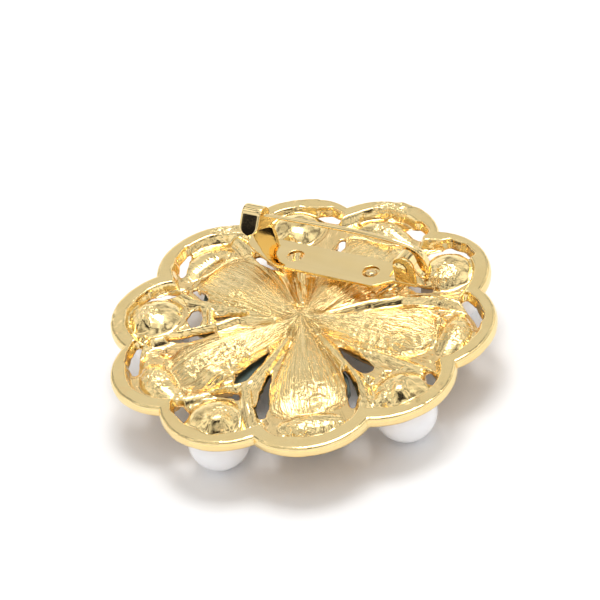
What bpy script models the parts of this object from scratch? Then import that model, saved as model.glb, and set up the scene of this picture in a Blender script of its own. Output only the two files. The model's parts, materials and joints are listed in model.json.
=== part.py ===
"""Flower brooch lying face down: a scalloped gilt casting with pearls, glass petals and a bar pin.

Metres, +Z up.  The origin is under the middle of the flower, on the surface that the pearls rest on.
+X runs along the bar pin from its catch to its hinge.  Sizes below are in millimetres.
"""

import math

import bmesh
import bpy
from mathutils import Matrix, Vector

MM = 0.001
GAP = 0.3  # clearance between pieces that touch

# Pearls: they carry the brooch and set its height
PEARL_RADIUS = 4.0
PEARL_RING = 20.2
PEARL_ANGLES = {"b": 194.0, "d": 265.5, "f": 337.0, "h": 49.0, "j": 121.8}

# Scalloped rim
CUSP_RADIUS = 23.4
APEX_RADIUS = 26.0
LOBES = 10
FIRST_CUSP = -4.2
RIM_TOP = 8.35
RIM_HEIGHT = 1.5
RIM_WIDTH = 2.5

# Web between the rim and the flower
WEB_TOP = 7.15
WEB_THICKNESS = 0.8
WEB_BOTTOM = WEB_TOP - WEB_THICKNESS

# Flower petals: distance from the middle against half width
PETAL_ANGLES = {"a": 160.0, "c": 233.0, "e": 301.5, "g": 11.0, "i": 86.0}
# the pattern was carved by hand, so each petal sits a little higher or lower
PETAL_LIFT = {"a": 0.05, "c": -0.04, "e": 0.02, "g": 0.08, "i": -0.07}
PETAL_START = 0.5
PETAL_PROFILE = (
    (PETAL_START, 0.9), (4.0, 2.1), (8.0, 3.6), (11.5, 4.7),
    (14.0, 5.0), (16.0, 4.2), (17.1, 2.5), (17.5, 0.7),
)
PETAL_CROWN = 8.75
CENTRE_CROWN = 8.95
PETAL_WIDEST = 7.35
PETAL_BASE = 6.5
HUB_RADIUS = 2.7

# Pearl cups, seen from behind as domes
CUP_WALL = 0.6
CUP_RADIUS = PEARL_RADIUS + GAP + CUP_WALL

# Raised backs of the small stone seats at the petal tips
TIP_RING = 20.5
TIP_LENGTH = 8.4
TIP_WIDTH = 4.2
TIP_CROWN = 8.1
TIP_BASE = 6.72

# Ribs from the flower to the pearl cups
RIB_RADIUS = 0.75
RIB_START = 4.0
RIB_HEIGHT = 7.3

# Openings through the web: start x, y, end x, y and greatest width
OPENINGS = (
    (-1.5, -6.8, -1.9, -13.0, 1.5),
    (1.1, -10.6, 3.9, -17.0, 1.8),
    (7.1, -2.8, 12.6, -5.7, 1.8),
    (9.4, -6.8, 13.8, -11.6, 1.3),
    (18.6, 10.2, 21.3, 7.3, 1.3),
    (8.4, 16.6, 10.6, 19.4, 1.4),
    (4.9, 21.3, 6.9, 20.6, 1.4),
    (-8.6, 20.4, -6.6, 20.6, 0.9),
    (-21.3, 6.4, -20.5, 4.2, 0.9),
    (-11.9, 10.6, -9.4, 9.0, 1.3),
    (-15.2, -2.9, -9.0, -1.2, 1.2),
    (-16.8, 1.9, -15.2, 1.2, 0.8),
    (-15.6, -8.6, -11.5, -5.6, 1.0),
    (-18.1, -11.2, -16.9, -14.9, 1.2),
    (-6.9, -19.0, -5.9, -20.6, 1.3),
    (19.9, -3.6, 21.0, -4.9, 1.2),
    (-3.4, 17.2, -2.7, 14.6, 1.1),
    (10.2, 9.0, 13.6, 11.8, 1.3),
    (6.4, 8.6, 9.4, 13.6, 1.3),
    (-5.4, 8.6, -8.3, 13.4, 1.3),
)

# Glass stones on the front: a pear that swells to its widest place and then closes in a round end
STONE_START = 3.6
STONE_WIDEST = 12.4
STONE_END = 17.8
STONE_HALF_WIDTH = 5.3
BEZEL_WALL = 0.45
BEZEL_BOTTOM = 5.0
BEZEL_OVERLAP = 0.15
SEAT_OVERLAP = 0.3
CUTTER_BOTTOM = 5.5
CUTTER_TOP = 9.5
STONE_TOP = WEB_BOTTOM - GAP
STONE_GIRDLE = 5.2
STONE_TABLE = 3.5
STONE_CROWN_INSET = 1.7
CENTRE_STONE_RADIUS = 2.1
CENTRE_STONE_TABLE = 3.3
RHINESTONE_RADIUS = 1.2
RHINESTONE_TABLE = 4.9
RHINESTONE_SPACING = 2.9
TABLE_SHARE = 0.55

# Bar pin plate, a stamping with its catch and its two hinge ears
PLATE_TOP = RIM_TOP + 1.2
SHEET = 0.45
PLATE_NEAR = 7.2
PLATE_FAR = 12.3
HOLE_RADIUS = 1.15
HOLE_Y = 9.75
OPEN_HOLE_X = -6.1
SOLDERED_HOLE_X = 5.15
CATCH_X = -12.0
CATCH_WIDTH = 2.8
CATCH_BASE_WIDTH = 4.0
EAR_LEFT = 9.1
EAR_RIGHT = 12.2
EAR_TOP = RIM_TOP + 5.2
NOTCH_LEFT = 7.9
EAR_GAP = 0.25  # between an ear and the side of the stem's curl
CATCH_FOLD_TOP = RIM_TOP + 6.95
CATCH_BEND = 1.15
CATCH_WALL_HEIGHT = 2.4
TONGUE_LENGTH = 2.8
TONGUE_LEAN = 38.0  # from upright, so that the stem slides in past the tongue

# Hinge and pin stem
RIVET_X = 10.2
RIVET_Z = RIM_TOP + 3.4
RIVET_RADIUS = 0.6
RIVET_CLEARANCE = 0.15
RIVET_HEAD_RADIUS = 1.0
RIVET_HEAD = 0.4
STEM_Y = 10.6
RIBBON_WIDTH = 1.8
RIBBON_THICKNESS = 0.35
LIMB_WIDTH = 0.9  # the spring loop between the wire and the flattened curl
LIMB_THICKNESS = 0.42
CURL_RADIUS = 1.12
WIRE_DIAMETER = 0.7

# Solder under the plate's catch end
PAD_X = -10.6
PAD_Y = 10.9
PAD_TOP = PLATE_TOP - SHEET - 0.25
PAD_BOTTOM = WEB_TOP + GAP


def clear_scene():
    for old in list(bpy.data.objects):
        bpy.data.objects.remove(old, do_unlink=True)


def new_collection(name):
    group = bpy.data.collections.new(name)
    bpy.context.scene.collection.children.link(group)
    return group


def material(name, color, metallic, roughness):
    finish = bpy.data.materials.new(name)
    finish.use_nodes = True
    shader = finish.node_tree.nodes["Principled BSDF"]
    shader.inputs["Base Color"].default_value = (*color, 1.0)
    shader.inputs["Metallic"].default_value = metallic
    shader.inputs["Roughness"].default_value = roughness
    return finish


def polar(radius, degrees):
    angle = math.radians(degrees)
    return radius * math.cos(angle), radius * math.sin(angle)


def finish_object(obj, finish, smooth_angle=40.0):
    obj.data.materials.clear()
    obj.data.materials.append(finish)
    obj.data.shade_smooth()
    obj.data.set_sharp_from_angle(angle=math.radians(smooth_angle))


def object_from(bm, name, group):
    """Turn millimetre geometry into an object in metres."""
    bmesh.ops.recalc_face_normals(bm, faces=bm.faces)
    bmesh.ops.scale(bm, vec=(MM, MM, MM), verts=bm.verts)
    mesh = bpy.data.meshes.new(name)
    bm.to_mesh(mesh)
    bm.free()
    obj = bpy.data.objects.new(name, mesh)
    group.objects.link(obj)
    return obj


def sheet_from_outlines(name, outlines, bottom, top, group):
    """Extrude closed flat outlines (the first is the edge, the others are holes) between two heights."""
    curve = bpy.data.curves.new(name, "CURVE")
    curve.dimensions = "2D"
    curve.fill_mode = "BOTH"
    curve.extrude = 0.5 * (top - bottom) * MM
    curve.render_resolution_u = 0
    for outline in outlines:
        spline = curve.splines.new("POLY")
        spline.points.add(len(outline) - 1)
        for point, (x, y) in zip(spline.points, outline):
            point.co = (x * MM, y * MM, 0.0, 1.0)
        spline.use_cyclic_u = True
    guide = bpy.data.objects.new(name + "_outline", curve)
    group.objects.link(guide)
    bpy.context.view_layer.update()
    flat = guide.evaluated_get(bpy.context.evaluated_depsgraph_get())
    mesh = bpy.data.meshes.new_from_object(flat)
    bpy.data.objects.remove(guide, do_unlink=True)
    bm = bmesh.new()
    bm.from_mesh(mesh)
    bpy.data.meshes.remove(mesh)
    bmesh.ops.remove_doubles(bm, verts=bm.verts, dist=0.00001)
    bmesh.ops.translate(bm, verts=bm.verts, vec=(0.0, 0.0, 0.5 * (top + bottom) * MM))
    bmesh.ops.recalc_face_normals(bm, faces=bm.faces)
    mesh = bpy.data.meshes.new(name)
    bm.to_mesh(mesh)
    bm.free()
    obj = bpy.data.objects.new(name, mesh)
    group.objects.link(obj)
    return obj


def turned(name, profile, steps, group, place=(0.0, 0.0, 0.0)):
    """Turn a profile of (radius, height) points, given from the top down, about an upright axis."""
    bm = bmesh.new()
    points = [bm.verts.new((radius, 0.0, height)) for radius, height in profile]
    for upper, lower in zip(points, points[1:]):
        bm.edges.new((upper, lower))
    bmesh.ops.scale(bm, vec=(MM, MM, MM), verts=bm.verts)
    mesh = bpy.data.meshes.new(name)
    bm.to_mesh(mesh)
    bm.free()
    obj = bpy.data.objects.new(name, mesh)
    group.objects.link(obj)
    obj.location = Vector(place) * MM
    screw = obj.modifiers.new("turn", "SCREW")
    screw.steps = steps
    screw.render_steps = steps
    screw.use_merge_vertices = True
    screw.merge_threshold = 0.00001
    return obj


def boolean(obj, tool, operation, solver="EXACT"):
    """Apply a Boolean and remove the tool."""
    change = obj.modifiers.new(operation.lower(), "BOOLEAN")
    change.operation = operation
    change.solver = solver
    change.object = tool
    bpy.context.view_layer.update()
    shaped = obj.evaluated_get(bpy.context.evaluated_depsgraph_get())
    mesh = bpy.data.meshes.new_from_object(shaped)
    obj.modifiers.clear()
    obj.data = mesh
    bpy.data.objects.remove(tool, do_unlink=True)


def read_profile(values, position):
    """Read a table of (place, value) pairs with straight lines between them."""
    for (start, low), (end, high) in zip(values, values[1:]):
        if position <= end:
            share = (position - start) / (end - start)
            return low + (high - low) * share
    return values[-1][1]


def scallop(inset, segments):
    """Ten-lobed outline, moved inwards by the inset."""
    half = math.pi / LOBES
    chord = CUSP_RADIUS * math.cos(half)
    sagitta = APEX_RADIUS - chord
    half_chord = CUSP_RADIUS * math.sin(half)
    lobe_radius = (half_chord**2 + sagitta**2) / (2.0 * sagitta)
    lobe_ring = APEX_RADIUS - lobe_radius
    radius = lobe_radius - inset
    # where the inset lobe circle meets the line between two lobes
    along = lobe_ring * math.cos(half)
    reach = along + math.sqrt(radius**2 - (lobe_ring * math.sin(half)) ** 2)
    sweep = math.atan2(reach * math.sin(half), reach * math.cos(half) - lobe_ring)
    outline = []
    for lobe in range(LOBES):
        middle = math.radians(FIRST_CUSP + 360.0 / LOBES * (lobe + 0.5))
        for step in range(segments):
            turn = middle - sweep + 2.0 * sweep * step / segments
            x = lobe_ring * math.cos(middle) + radius * math.cos(turn)
            y = lobe_ring * math.sin(middle) + radius * math.sin(turn)
            outline.append((x, y))
    return outline


def teardrop(x0, y0, x1, y1, width, points=10):
    """Pointed at the start, round at the end."""
    length = math.hypot(x1 - x0, y1 - y0)
    along = ((x1 - x0) / length, (y1 - y0) / length)
    outline = []
    for step in range(points):
        turn = 2.0 * math.pi * step / points
        place = 0.5 * length * (1.0 - math.cos(turn))
        fullness = 0.55 + 0.45 * place / length
        side = 0.5 * width * math.sin(turn) * fullness
        outline.append((x0 + along[0] * place - along[1] * side, y0 + along[1] * place + along[0] * side))
    return outline


def pear(margin, degrees, points=7):
    """Outline of a petal stone, moved outwards by the margin."""
    start = STONE_START - margin
    end = STONE_END + margin
    half_width = STONE_HALF_WIDTH + margin
    side = []
    for step in range(points + 1):
        place = start + (end - start) * 0.5 * (1.0 - math.cos(math.pi * step / points))
        if place < STONE_WIDEST:
            share = (STONE_WIDEST - place) / (STONE_WIDEST - start)
            width = half_width * max(0.0, math.cos(0.5 * math.pi * share)) ** 0.9
        else:
            share = (place - STONE_WIDEST) / (end - STONE_WIDEST)
            width = half_width * math.sqrt(max(0.0, 1.0 - share**2))
        side.append((place, width))
    outline = side + [(place, -width) for place, width in reversed(side[1:-1])]
    cos, sin = polar(1.0, degrees)
    return [(place * cos - width * sin, place * sin + width * cos) for place, width in outline]


def lofted_strip(bm, stations, sides):
    """Join sections along a path.  A station is a centre, a width axis, a thickness axis and both sizes."""
    rings = []
    for centre, wide_axis, thick_axis, width, thickness in stations:
        ring = []
        for side in range(sides):
            turn = 2.0 * math.pi * (side + 0.5) / sides
            across, through = math.cos(turn), math.sin(turn)
            if sides == 4:
                across, through = math.copysign(1.0, across), math.copysign(1.0, through)
            place = centre + wide_axis * (0.5 * width * across) + thick_axis * (0.5 * thickness * through)
            ring.append(bm.verts.new(place))
        rings.append(ring)
    for ring, following in zip(rings, rings[1:]):
        for side in range(sides):
            other = (side + 1) % sides
            bm.faces.new((ring[side], ring[other], following[other], following[side]))
    bm.faces.new(tuple(reversed(rings[0])))
    bm.faces.new(tuple(rings[-1]))


def strip_stations(path, wide_axis, widths, thicknesses):
    """Stations of a strip that bends in the plane across its width axis."""
    stations = []
    for index, centre in enumerate(path):
        before = path[max(index - 1, 0)]
        after = path[min(index + 1, len(path) - 1)]
        thick_axis = (after - before).normalized().cross(wide_axis)
        stations.append((centre, wide_axis, thick_axis, widths[index], thicknesses[index]))
    return stations


def petal_body(name, degrees, lift, group):
    """A bulging petal: a sphere drawn out to the petal's outline, nearly flat underneath."""
    length = PETAL_PROFILE[-1][0] - PETAL_START
    bm = bmesh.new()
    bmesh.ops.create_uvsphere(bm, u_segments=14, v_segments=12, radius=1.0)
    bmesh.ops.rotate(bm, verts=bm.verts, cent=(0, 0, 0), matrix=Matrix.Rotation(math.pi / 2, 3, "Y"))
    for vert in bm.verts:
        share = 0.5 * (vert.co.x + 1.0)
        around = math.hypot(vert.co.y, vert.co.z)
        place = PETAL_START + length * share
        across = vert.co.y / around if around > 0.001 else 0.0
        upward = vert.co.z / around if around > 0.001 else 0.0
        half_width = read_profile(PETAL_PROFILE, place)
        crown = CENTRE_CROWN + (PETAL_CROWN - CENTRE_CROWN) * min(1.0, share * 2.0)
        rise = (crown - PETAL_WIDEST) * min(1.0, 2.2 * (1.0 - share) ** 0.5)
        fall = PETAL_WIDEST - PETAL_BASE
        height = upward * (rise if upward > 0.0 else fall)
        vert.co = Vector((place, across * half_width, PETAL_WIDEST + lift + height))
    bmesh.ops.rotate(
        bm, verts=bm.verts, cent=(0, 0, 0), matrix=Matrix.Rotation(math.radians(degrees), 3, "Z")
    )
    return object_from(bm, name, group)


def hub_body(name, group):
    """Low dome where the petals meet."""
    base = PETAL_BASE + 0.1
    profile = [(0.0, CENTRE_CROWN), (1.2, CENTRE_CROWN - 0.12), (2.2, CENTRE_CROWN - 0.5)]
    profile += [(HUB_RADIUS, WEB_TOP - 0.2), (HUB_RADIUS, base), (0.0, base)]
    hub = turned(name, profile, 12, group)
    hub.rotation_euler = (0.0, 0.0, math.radians(7.0))
    return hub


def cup_body(name, degrees, group):
    """Back of a pearl cup: the cap of a sphere on a short skirt that reaches down into the web."""
    base = WEB_BOTTOM + 0.1
    lowest = math.acos((WEB_TOP - 0.2 - PEARL_RADIUS) / CUP_RADIUS)
    steps = 4
    profile = [(CUP_RADIUS * math.sin(lowest * i / steps),
                PEARL_RADIUS + CUP_RADIUS * math.cos(lowest * i / steps)) for i in range(steps + 1)]
    profile += [(profile[-1][0], base), (0.0, base)]
    x, y = polar(PEARL_RING, degrees)
    return turned(name, profile, 16, group, (x, y, 0.0))


def tip_body(name, degrees, group):
    """Long low bump behind the row of small stones at a petal's tip."""
    bm = bmesh.new()
    bmesh.ops.create_uvsphere(bm, u_segments=12, v_segments=6, radius=1.0)
    for vert in bm.verts:
        rise = TIP_CROWN - TIP_BASE if vert.co.z > 0.0 else 0.3
        vert.co = Vector((
            TIP_RING + vert.co.x * 0.5 * TIP_WIDTH - 0.03 * (vert.co.y * 0.5 * TIP_LENGTH) ** 2,
            vert.co.y * 0.5 * TIP_LENGTH,
            TIP_BASE + vert.co.z * rise,
        ))
    bmesh.ops.rotate(
        bm, verts=bm.verts, cent=(0, 0, 0), matrix=Matrix.Rotation(math.radians(degrees), 3, "Z")
    )
    return object_from(bm, name, group)


def rib_body(name, degrees, group):
    """Round bar from the middle of the flower to a pearl cup."""
    bm = bmesh.new()
    out = Vector((*polar(1.0, degrees), 0.0))
    side = Vector((-out.y, out.x, 0.0))
    up = Vector((0.0, 0.0, 1.0))
    stations = []
    for place, width in ((RIB_START, 1.6), (9.0, 1.1), (13.0, 1.1), (PEARL_RING - 2.6, 1.9)):
        centre = out * place + up * RIB_HEIGHT
        stations.append((centre, side, up, width, 2.0 * RIB_RADIUS))
    lofted_strip(bm, stations, 8)
    return object_from(bm, name, group)


def disc(name, x, y, radius, bottom, top, segments, group):
    bm = bmesh.new()
    bmesh.ops.create_cone(
        bm, cap_ends=True, segments=segments, radius1=radius, radius2=radius, depth=top - bottom
    )
    bmesh.ops.translate(bm, verts=bm.verts, vec=(x, y, 0.5 * (top + bottom)))
    return object_from(bm, name, group)


def rhinestone_places():
    """Three small stones in an arc at each petal tip."""
    places = []
    for letter, degrees in PETAL_ANGLES.items():
        for index in (-1, 0, 1):
            turn = degrees + math.degrees(index * RHINESTONE_SPACING / TIP_RING)
            places.append((f"rhinestone_{letter}{index + 2}", *polar(TIP_RING - 0.15 * abs(index), turn)))
    return places


def build_casting(group, cutters, gold):
    """The gilt casting: rim, web, petals, cups and ribs in one piece, then its openings and sockets."""
    rim = sheet_from_outlines(
        "casting", [scallop(0.0, 6), scallop(RIM_WIDTH, 5)], RIM_TOP - RIM_HEIGHT, RIM_TOP, group
    )
    flower = hub_body("hub", cutters)
    for letter, degrees in PETAL_ANGLES.items():
        petal = petal_body(f"petal_{letter}", degrees, PETAL_LIFT[letter], cutters)
        boolean(flower, petal, "UNION")
    for letter, degrees in PEARL_ANGLES.items():
        boolean(flower, rib_body(f"rib_{letter}", degrees, cutters), "UNION")
        boolean(flower, cup_body(f"cup_{letter}", degrees, cutters), "UNION")
    web = sheet_from_outlines("web", [scallop(0.5 * RIM_WIDTH, 4)], WEB_BOTTOM, WEB_TOP, cutters)
    for index, outline in enumerate(OPENINGS):
        hole = teardrop(*outline)
        cut = sheet_from_outlines(f"opening_{index}", [hole], CUTTER_BOTTOM, CUTTER_TOP, cutters)
        boolean(web, cut, "DIFFERENCE")
    boolean(rim, web, "UNION")
    # the flower's many shallow crossings with the web defeat the exact solver
    boolean(rim, flower, "UNION", "MANIFOLD")
    for letter, degrees in PETAL_ANGLES.items():
        boolean(rim, tip_body(f"tip_{letter}", degrees, cutters), "UNION")
    for letter, degrees in PETAL_ANGLES.items():
        rings = [pear(GAP + BEZEL_WALL, degrees), pear(GAP, degrees)]
        top = WEB_BOTTOM + BEZEL_OVERLAP
        bezel = sheet_from_outlines(f"bezel_{letter}", rings, BEZEL_BOTTOM, top, cutters)
        boolean(rim, bezel, "UNION")
    seat_top = WEB_BOTTOM + SEAT_OVERLAP
    seat = disc("centre_seat", 0.0, 0.0, CENTRE_STONE_RADIUS, BEZEL_BOTTOM, seat_top, 16, cutters)
    boolean(rim, seat, "UNION")
    for letter, degrees in PEARL_ANGLES.items():
        bm = bmesh.new()
        bmesh.ops.create_uvsphere(bm, u_segments=16, v_segments=9, radius=PEARL_RADIUS + GAP)
        bmesh.ops.translate(bm, verts=bm.verts, vec=(*polar(PEARL_RING, degrees), PEARL_RADIUS))
        boolean(rim, object_from(bm, f"socket_{letter}", cutters), "DIFFERENCE")
    finish_object(rim, gold, 35.0)
    return rim


def build_pearls(group, pearl):
    for letter, degrees in PEARL_ANGLES.items():
        bm = bmesh.new()
        bmesh.ops.create_uvsphere(bm, u_segments=16, v_segments=10, radius=PEARL_RADIUS)
        obj = object_from(bm, f"pearl_{letter}", group)
        obj.location = Vector((*polar(PEARL_RING, degrees), PEARL_RADIUS)) * MM
        finish_object(obj, pearl, 60.0)


def build_petal_stones(group, glass):
    """Pear-shaped stones: a flat back, a girdle and a bevelled crown that faces down."""
    for letter, degrees in PETAL_ANGLES.items():
        bm = bmesh.new()
        rings = []
        for height, inset in ((STONE_TOP, 0.0), (STONE_GIRDLE, 0.0), (STONE_TABLE, STONE_CROWN_INSET)):
            rings.append([bm.verts.new((x, y, height)) for x, y in pear(-inset, degrees)])
        for upper, lower in zip(rings, rings[1:]):
            for index in range(len(upper)):
                other = (index + 1) % len(upper)
                bm.faces.new((upper[index], upper[other], lower[other], lower[index]))
        bm.faces.new(rings[0])
        bm.faces.new(tuple(reversed(rings[-1])))
        obj = object_from(bm, f"petal_stone_{letter}", group)
        finish_object(obj, glass, 20.0)


def round_stone(name, x, y, radius, top, girdle, table, group, glass, segments=8):
    """Flat-backed round stone whose table faces down."""
    profile = [(0.0, top), (radius, top), (radius, girdle), (TABLE_SHARE * radius, table), (0.0, table)]
    obj = turned(name, profile, segments, group, (x, y, 0.0))
    finish_object(obj, glass, 20.0)
    return obj


def build_round_stones(group, clear):
    top = BEZEL_BOTTOM - GAP
    round_stone(
        "centre_stone", 0.0, 0.0, CENTRE_STONE_RADIUS, top, top - 0.3, CENTRE_STONE_TABLE, group, clear, 12
    )
    for name, x, y in rhinestone_places():
        round_stone(
            name, x, y, RHINESTONE_RADIUS, STONE_TOP, STONE_TOP - 0.4, RHINESTONE_TABLE, group, clear
        )


def plate_outline():
    near, far = PLATE_NEAR, PLATE_FAR
    prong = STEM_Y - 0.5 * RIBBON_WIDTH - EAR_GAP
    far_prong = STEM_Y + 0.5 * RIBBON_WIDTH + EAR_GAP
    end = EAR_RIGHT
    near_ear = prong - SHEET
    return [
        (-7.9, near), (6.8, near), (NOTCH_LEFT + 0.9, near_ear - 0.05), (end, near_ear - 0.05),
        (end, prong), (NOTCH_LEFT, prong), (NOTCH_LEFT, far_prong), (end, far_prong), (end, far),
        (CATCH_X - 0.5 * CATCH_BASE_WIDTH, far), (CATCH_X - 0.5 * CATCH_BASE_WIDTH, 11.2),
        (-13.9, 10.4), (-12.4, 9.4),
    ]


def circle(x, y, radius, points):
    return [(x + radius * math.cos(-2 * math.pi * i / points),
             y + radius * math.sin(-2 * math.pi * i / points)) for i in range(points)]


def ear_body(name, y_low, y_high, group):
    """Upright ear with a round top and a hole for the rivet, extruded across the bar."""
    bottom = PLATE_TOP - 0.5 * SHEET
    points = [(EAR_RIGHT, bottom), (EAR_RIGHT, RIVET_Z - 0.2)]
    middle = 0.5 * (EAR_LEFT + EAR_RIGHT) - 0.15
    radius = 0.5 * (EAR_RIGHT - EAR_LEFT)
    for step in range(1, 6):
        turn = math.pi * step / 6.0
        points.append((middle + radius * math.cos(turn), EAR_TOP - radius + radius * math.sin(turn)))
    points += [(EAR_LEFT, RIVET_Z - 0.2), (EAR_LEFT, bottom)]
    hole = circle(RIVET_X, RIVET_Z, RIVET_RADIUS + RIVET_CLEARANCE, 12)
    ear = sheet_from_outlines(name, [points, hole], y_low, y_high, group)
    # stand the outline up: its second direction becomes +Z and its thickness runs along +Y
    ear.data.transform(Matrix(((1, 0, 0, 0), (0, 0, 1, 0), (0, 1, 0, 0), (0, 0, 0, 1))))
    ear.data.flip_normals()
    return ear


def catch_body(group):
    """C-shaped catch: a wall on the far edge, folded over the stem, with a tongue that leans outwards."""
    wall_y = PLATE_FAR - 0.5 * SHEET
    fold_y = wall_y - CATCH_BEND
    fold_z = CATCH_FOLD_TOP - CATCH_BEND
    path = [
        Vector((CATCH_X, wall_y, PLATE_TOP - 0.5 * SHEET)),
        Vector((CATCH_X, wall_y, PLATE_TOP + CATCH_WALL_HEIGHT)),
    ]
    widths = [CATCH_BASE_WIDTH, CATCH_BASE_WIDTH - 0.6]
    for step in range(7):
        y, z = polar(CATCH_BEND, (180.0 - TONGUE_LEAN) * step / 6.0)
        path.append(Vector((CATCH_X, fold_y + y, fold_z + z)))
        widths.append(CATCH_WIDTH)
    down = Vector((0.0, *polar(TONGUE_LENGTH, 270.0 - TONGUE_LEAN)))
    start = path[-1]
    for share, width in ((0.4, 1.0), (0.65, 1.0), (0.84, 0.85), (0.95, 0.6), (1.0, 0.3)):
        path.append(start + down * share)
        widths.append(CATCH_WIDTH * width)
    bm = bmesh.new()
    lofted_strip(bm, strip_stations(path, Vector((1, 0, 0)), widths, [SHEET] * len(path)), 4)
    return object_from(bm, "catch", group)


def build_bar_plate(group, cutters, gold):
    holes = [circle(OPEN_HOLE_X, HOLE_Y, HOLE_RADIUS, 16), circle(SOLDERED_HOLE_X, HOLE_Y, HOLE_RADIUS, 16)]
    plate = sheet_from_outlines("bar_plate", [plate_outline()] + holes, PLATE_TOP - SHEET, PLATE_TOP, group)
    near = STEM_Y - 0.5 * RIBBON_WIDTH - EAR_GAP
    far = STEM_Y + 0.5 * RIBBON_WIDTH + EAR_GAP
    boolean(plate, ear_body("near_ear", near - SHEET, near - 0.02, cutters), "UNION")
    boolean(plate, ear_body("far_ear", far + 0.02, far + SHEET, cutters), "UNION")
    boolean(plate, catch_body(cutters), "UNION")
    finish_object(plate, gold, 30.0)
    return plate


def build_rivet(group, gold):
    """Headed rivet across the ears, turned about the hinge axis."""
    half = 0.5 * RIBBON_WIDTH + EAR_GAP + SHEET + 0.1
    tip = half + RIVET_HEAD
    profile = [
        (0.0, tip), (0.7 * RIVET_HEAD_RADIUS, tip - 0.06), (RIVET_HEAD_RADIUS, half + 0.1),
        (RIVET_HEAD_RADIUS, half), (RIVET_RADIUS, half), (RIVET_RADIUS, -half),
        (RIVET_HEAD_RADIUS, -half), (RIVET_HEAD_RADIUS, -half - 0.1),
        (0.7 * RIVET_HEAD_RADIUS, 0.06 - tip), (0.0, -tip),
    ]
    rivet = turned("hinge_rivet", profile, 16, group, (RIVET_X, STEM_Y, RIVET_Z))
    rivet.rotation_euler = (math.radians(90.0), 0.0, 0.0)
    finish_object(rivet, gold, 40.0)
    return rivet


def stem_path():
    """Centre line of the stem from its tip to its curled end, as x, z, width and thickness."""
    rim = RIM_TOP
    wire = WIRE_DIAMETER
    limb, slim = LIMB_WIDTH, LIMB_THICKNESS
    path = [
        (-13.8, rim + 6.05, 0.12, 0.12), (-12.8, rim + 6.12, 0.3, 0.3), (-11.0, rim + 6.22, 0.42, 0.42),
        (-5.0, rim + 6.5, 0.58, 0.58), (2.5, rim + 6.68, wire, wire), (8.0, rim + 6.5, wire, wire),
        (10.3, rim + 6.25, wire, 0.6), (11.6, rim + 5.95, wire, 0.55), (12.6, rim + 5.4, limb, 0.5),
        (13.2, rim + 4.55, limb, slim), (13.45, rim + 3.5, limb, slim), (13.45, rim + 2.5, limb, slim),
        (13.2, rim + 1.75, limb, slim), (12.75, rim + 1.45, limb, slim), (12.25, rim + 1.6, limb, slim),
        (11.85, rim + 2.1, limb, slim), (11.5, rim + 2.8, 1.1, slim),
    ]
    for step in range(10):
        turn = math.radians(5.0 + 30.0 * step)
        width = 1.4 if step == 0 else RIBBON_WIDTH
        path.append((
            RIVET_X + CURL_RADIUS * math.cos(turn), RIVET_Z + CURL_RADIUS * math.sin(turn),
            width, RIBBON_THICKNESS,
        ))
    return path


def build_stem(group, gold, pivot):
    path = stem_path()
    centres = [Vector((x, STEM_Y, z)) for x, z, width, thickness in path]
    widths = [width for x, z, width, thickness in path]
    thicknesses = [thickness for x, z, width, thickness in path]
    bm = bmesh.new()
    lofted_strip(bm, strip_stations(centres, Vector((0, 1, 0)), widths, thicknesses), 8)
    hinge = Vector((RIVET_X, STEM_Y, RIVET_Z))
    bmesh.ops.translate(bm, verts=bm.verts, vec=-hinge)
    stem = object_from(bm, "pin_stem", group)
    stem.parent = pivot
    finish_object(stem, gold, 50.0)
    return stem


def build_solder(group, solder):
    """Solder that holds the bar plate: a plug in one hole and a pad under the plate."""
    plug = turned(
        "solder_plug",
        [(0.0, PLATE_TOP + 0.1), (0.6, PLATE_TOP + 0.02), (0.85, PLATE_TOP - 0.15), (0.85, 8.3), (0.0, 8.3)],
        14, group, (SOLDERED_HOLE_X, HOLE_Y, 0.0),
    )
    finish_object(plug, solder, 40.0)
    pad = turned(
        "solder_pad", [(0.0, PAD_TOP), (1.0, PAD_TOP), (1.1, 8.0), (1.25, PAD_BOTTOM), (0.0, PAD_BOTTOM)],
        14, group, (PAD_X, PAD_Y, 0.0),
    )
    finish_object(pad, solder, 40.0)


def build():
    clear_scene()
    parts = new_collection("brooch")
    cutters = new_collection("cutters")
    gold = material("cast_gold", (0.86, 0.68, 0.34), 1.0, 0.22)
    polished = material("polished_gold", (0.88, 0.70, 0.38), 1.0, 0.08)
    solder = material("solder", (0.80, 0.66, 0.38), 1.0, 0.3)
    pearl = material("pearl", (0.93, 0.92, 0.92), 0.0, 0.18)
    green = material("green_glass", (0.01, 0.16, 0.12), 0.0, 0.05)
    clear = material("clear_glass", (0.85, 0.9, 0.92), 0.0, 0.03)
    pivot = bpy.data.objects.new("stem_pivot", None)
    pivot.location = Vector((RIVET_X, STEM_Y, RIVET_Z)) * MM
    parts.objects.link(pivot)
    build_casting(parts, cutters, gold)
    build_pearls(parts, pearl)
    build_petal_stones(parts, green)
    build_round_stones(parts, clear)
    build_bar_plate(parts, cutters, polished)
    build_rivet(parts, polished)
    build_stem(parts, polished, pivot)
    build_solder(parts, solder)


build()
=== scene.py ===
"""Looks of a gilt flower brooch lying face down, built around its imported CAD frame.

The casting is sampled as one solid field and meshed; the other pieces are lofts, turned profiles
and faceted stones.  Pieces are shaped in millimetres, in the frame's axes, and placed in metres.
"""

import json
import math

import bmesh
import bpy
import numpy as np
from mathutils import Matrix, Vector


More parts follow.
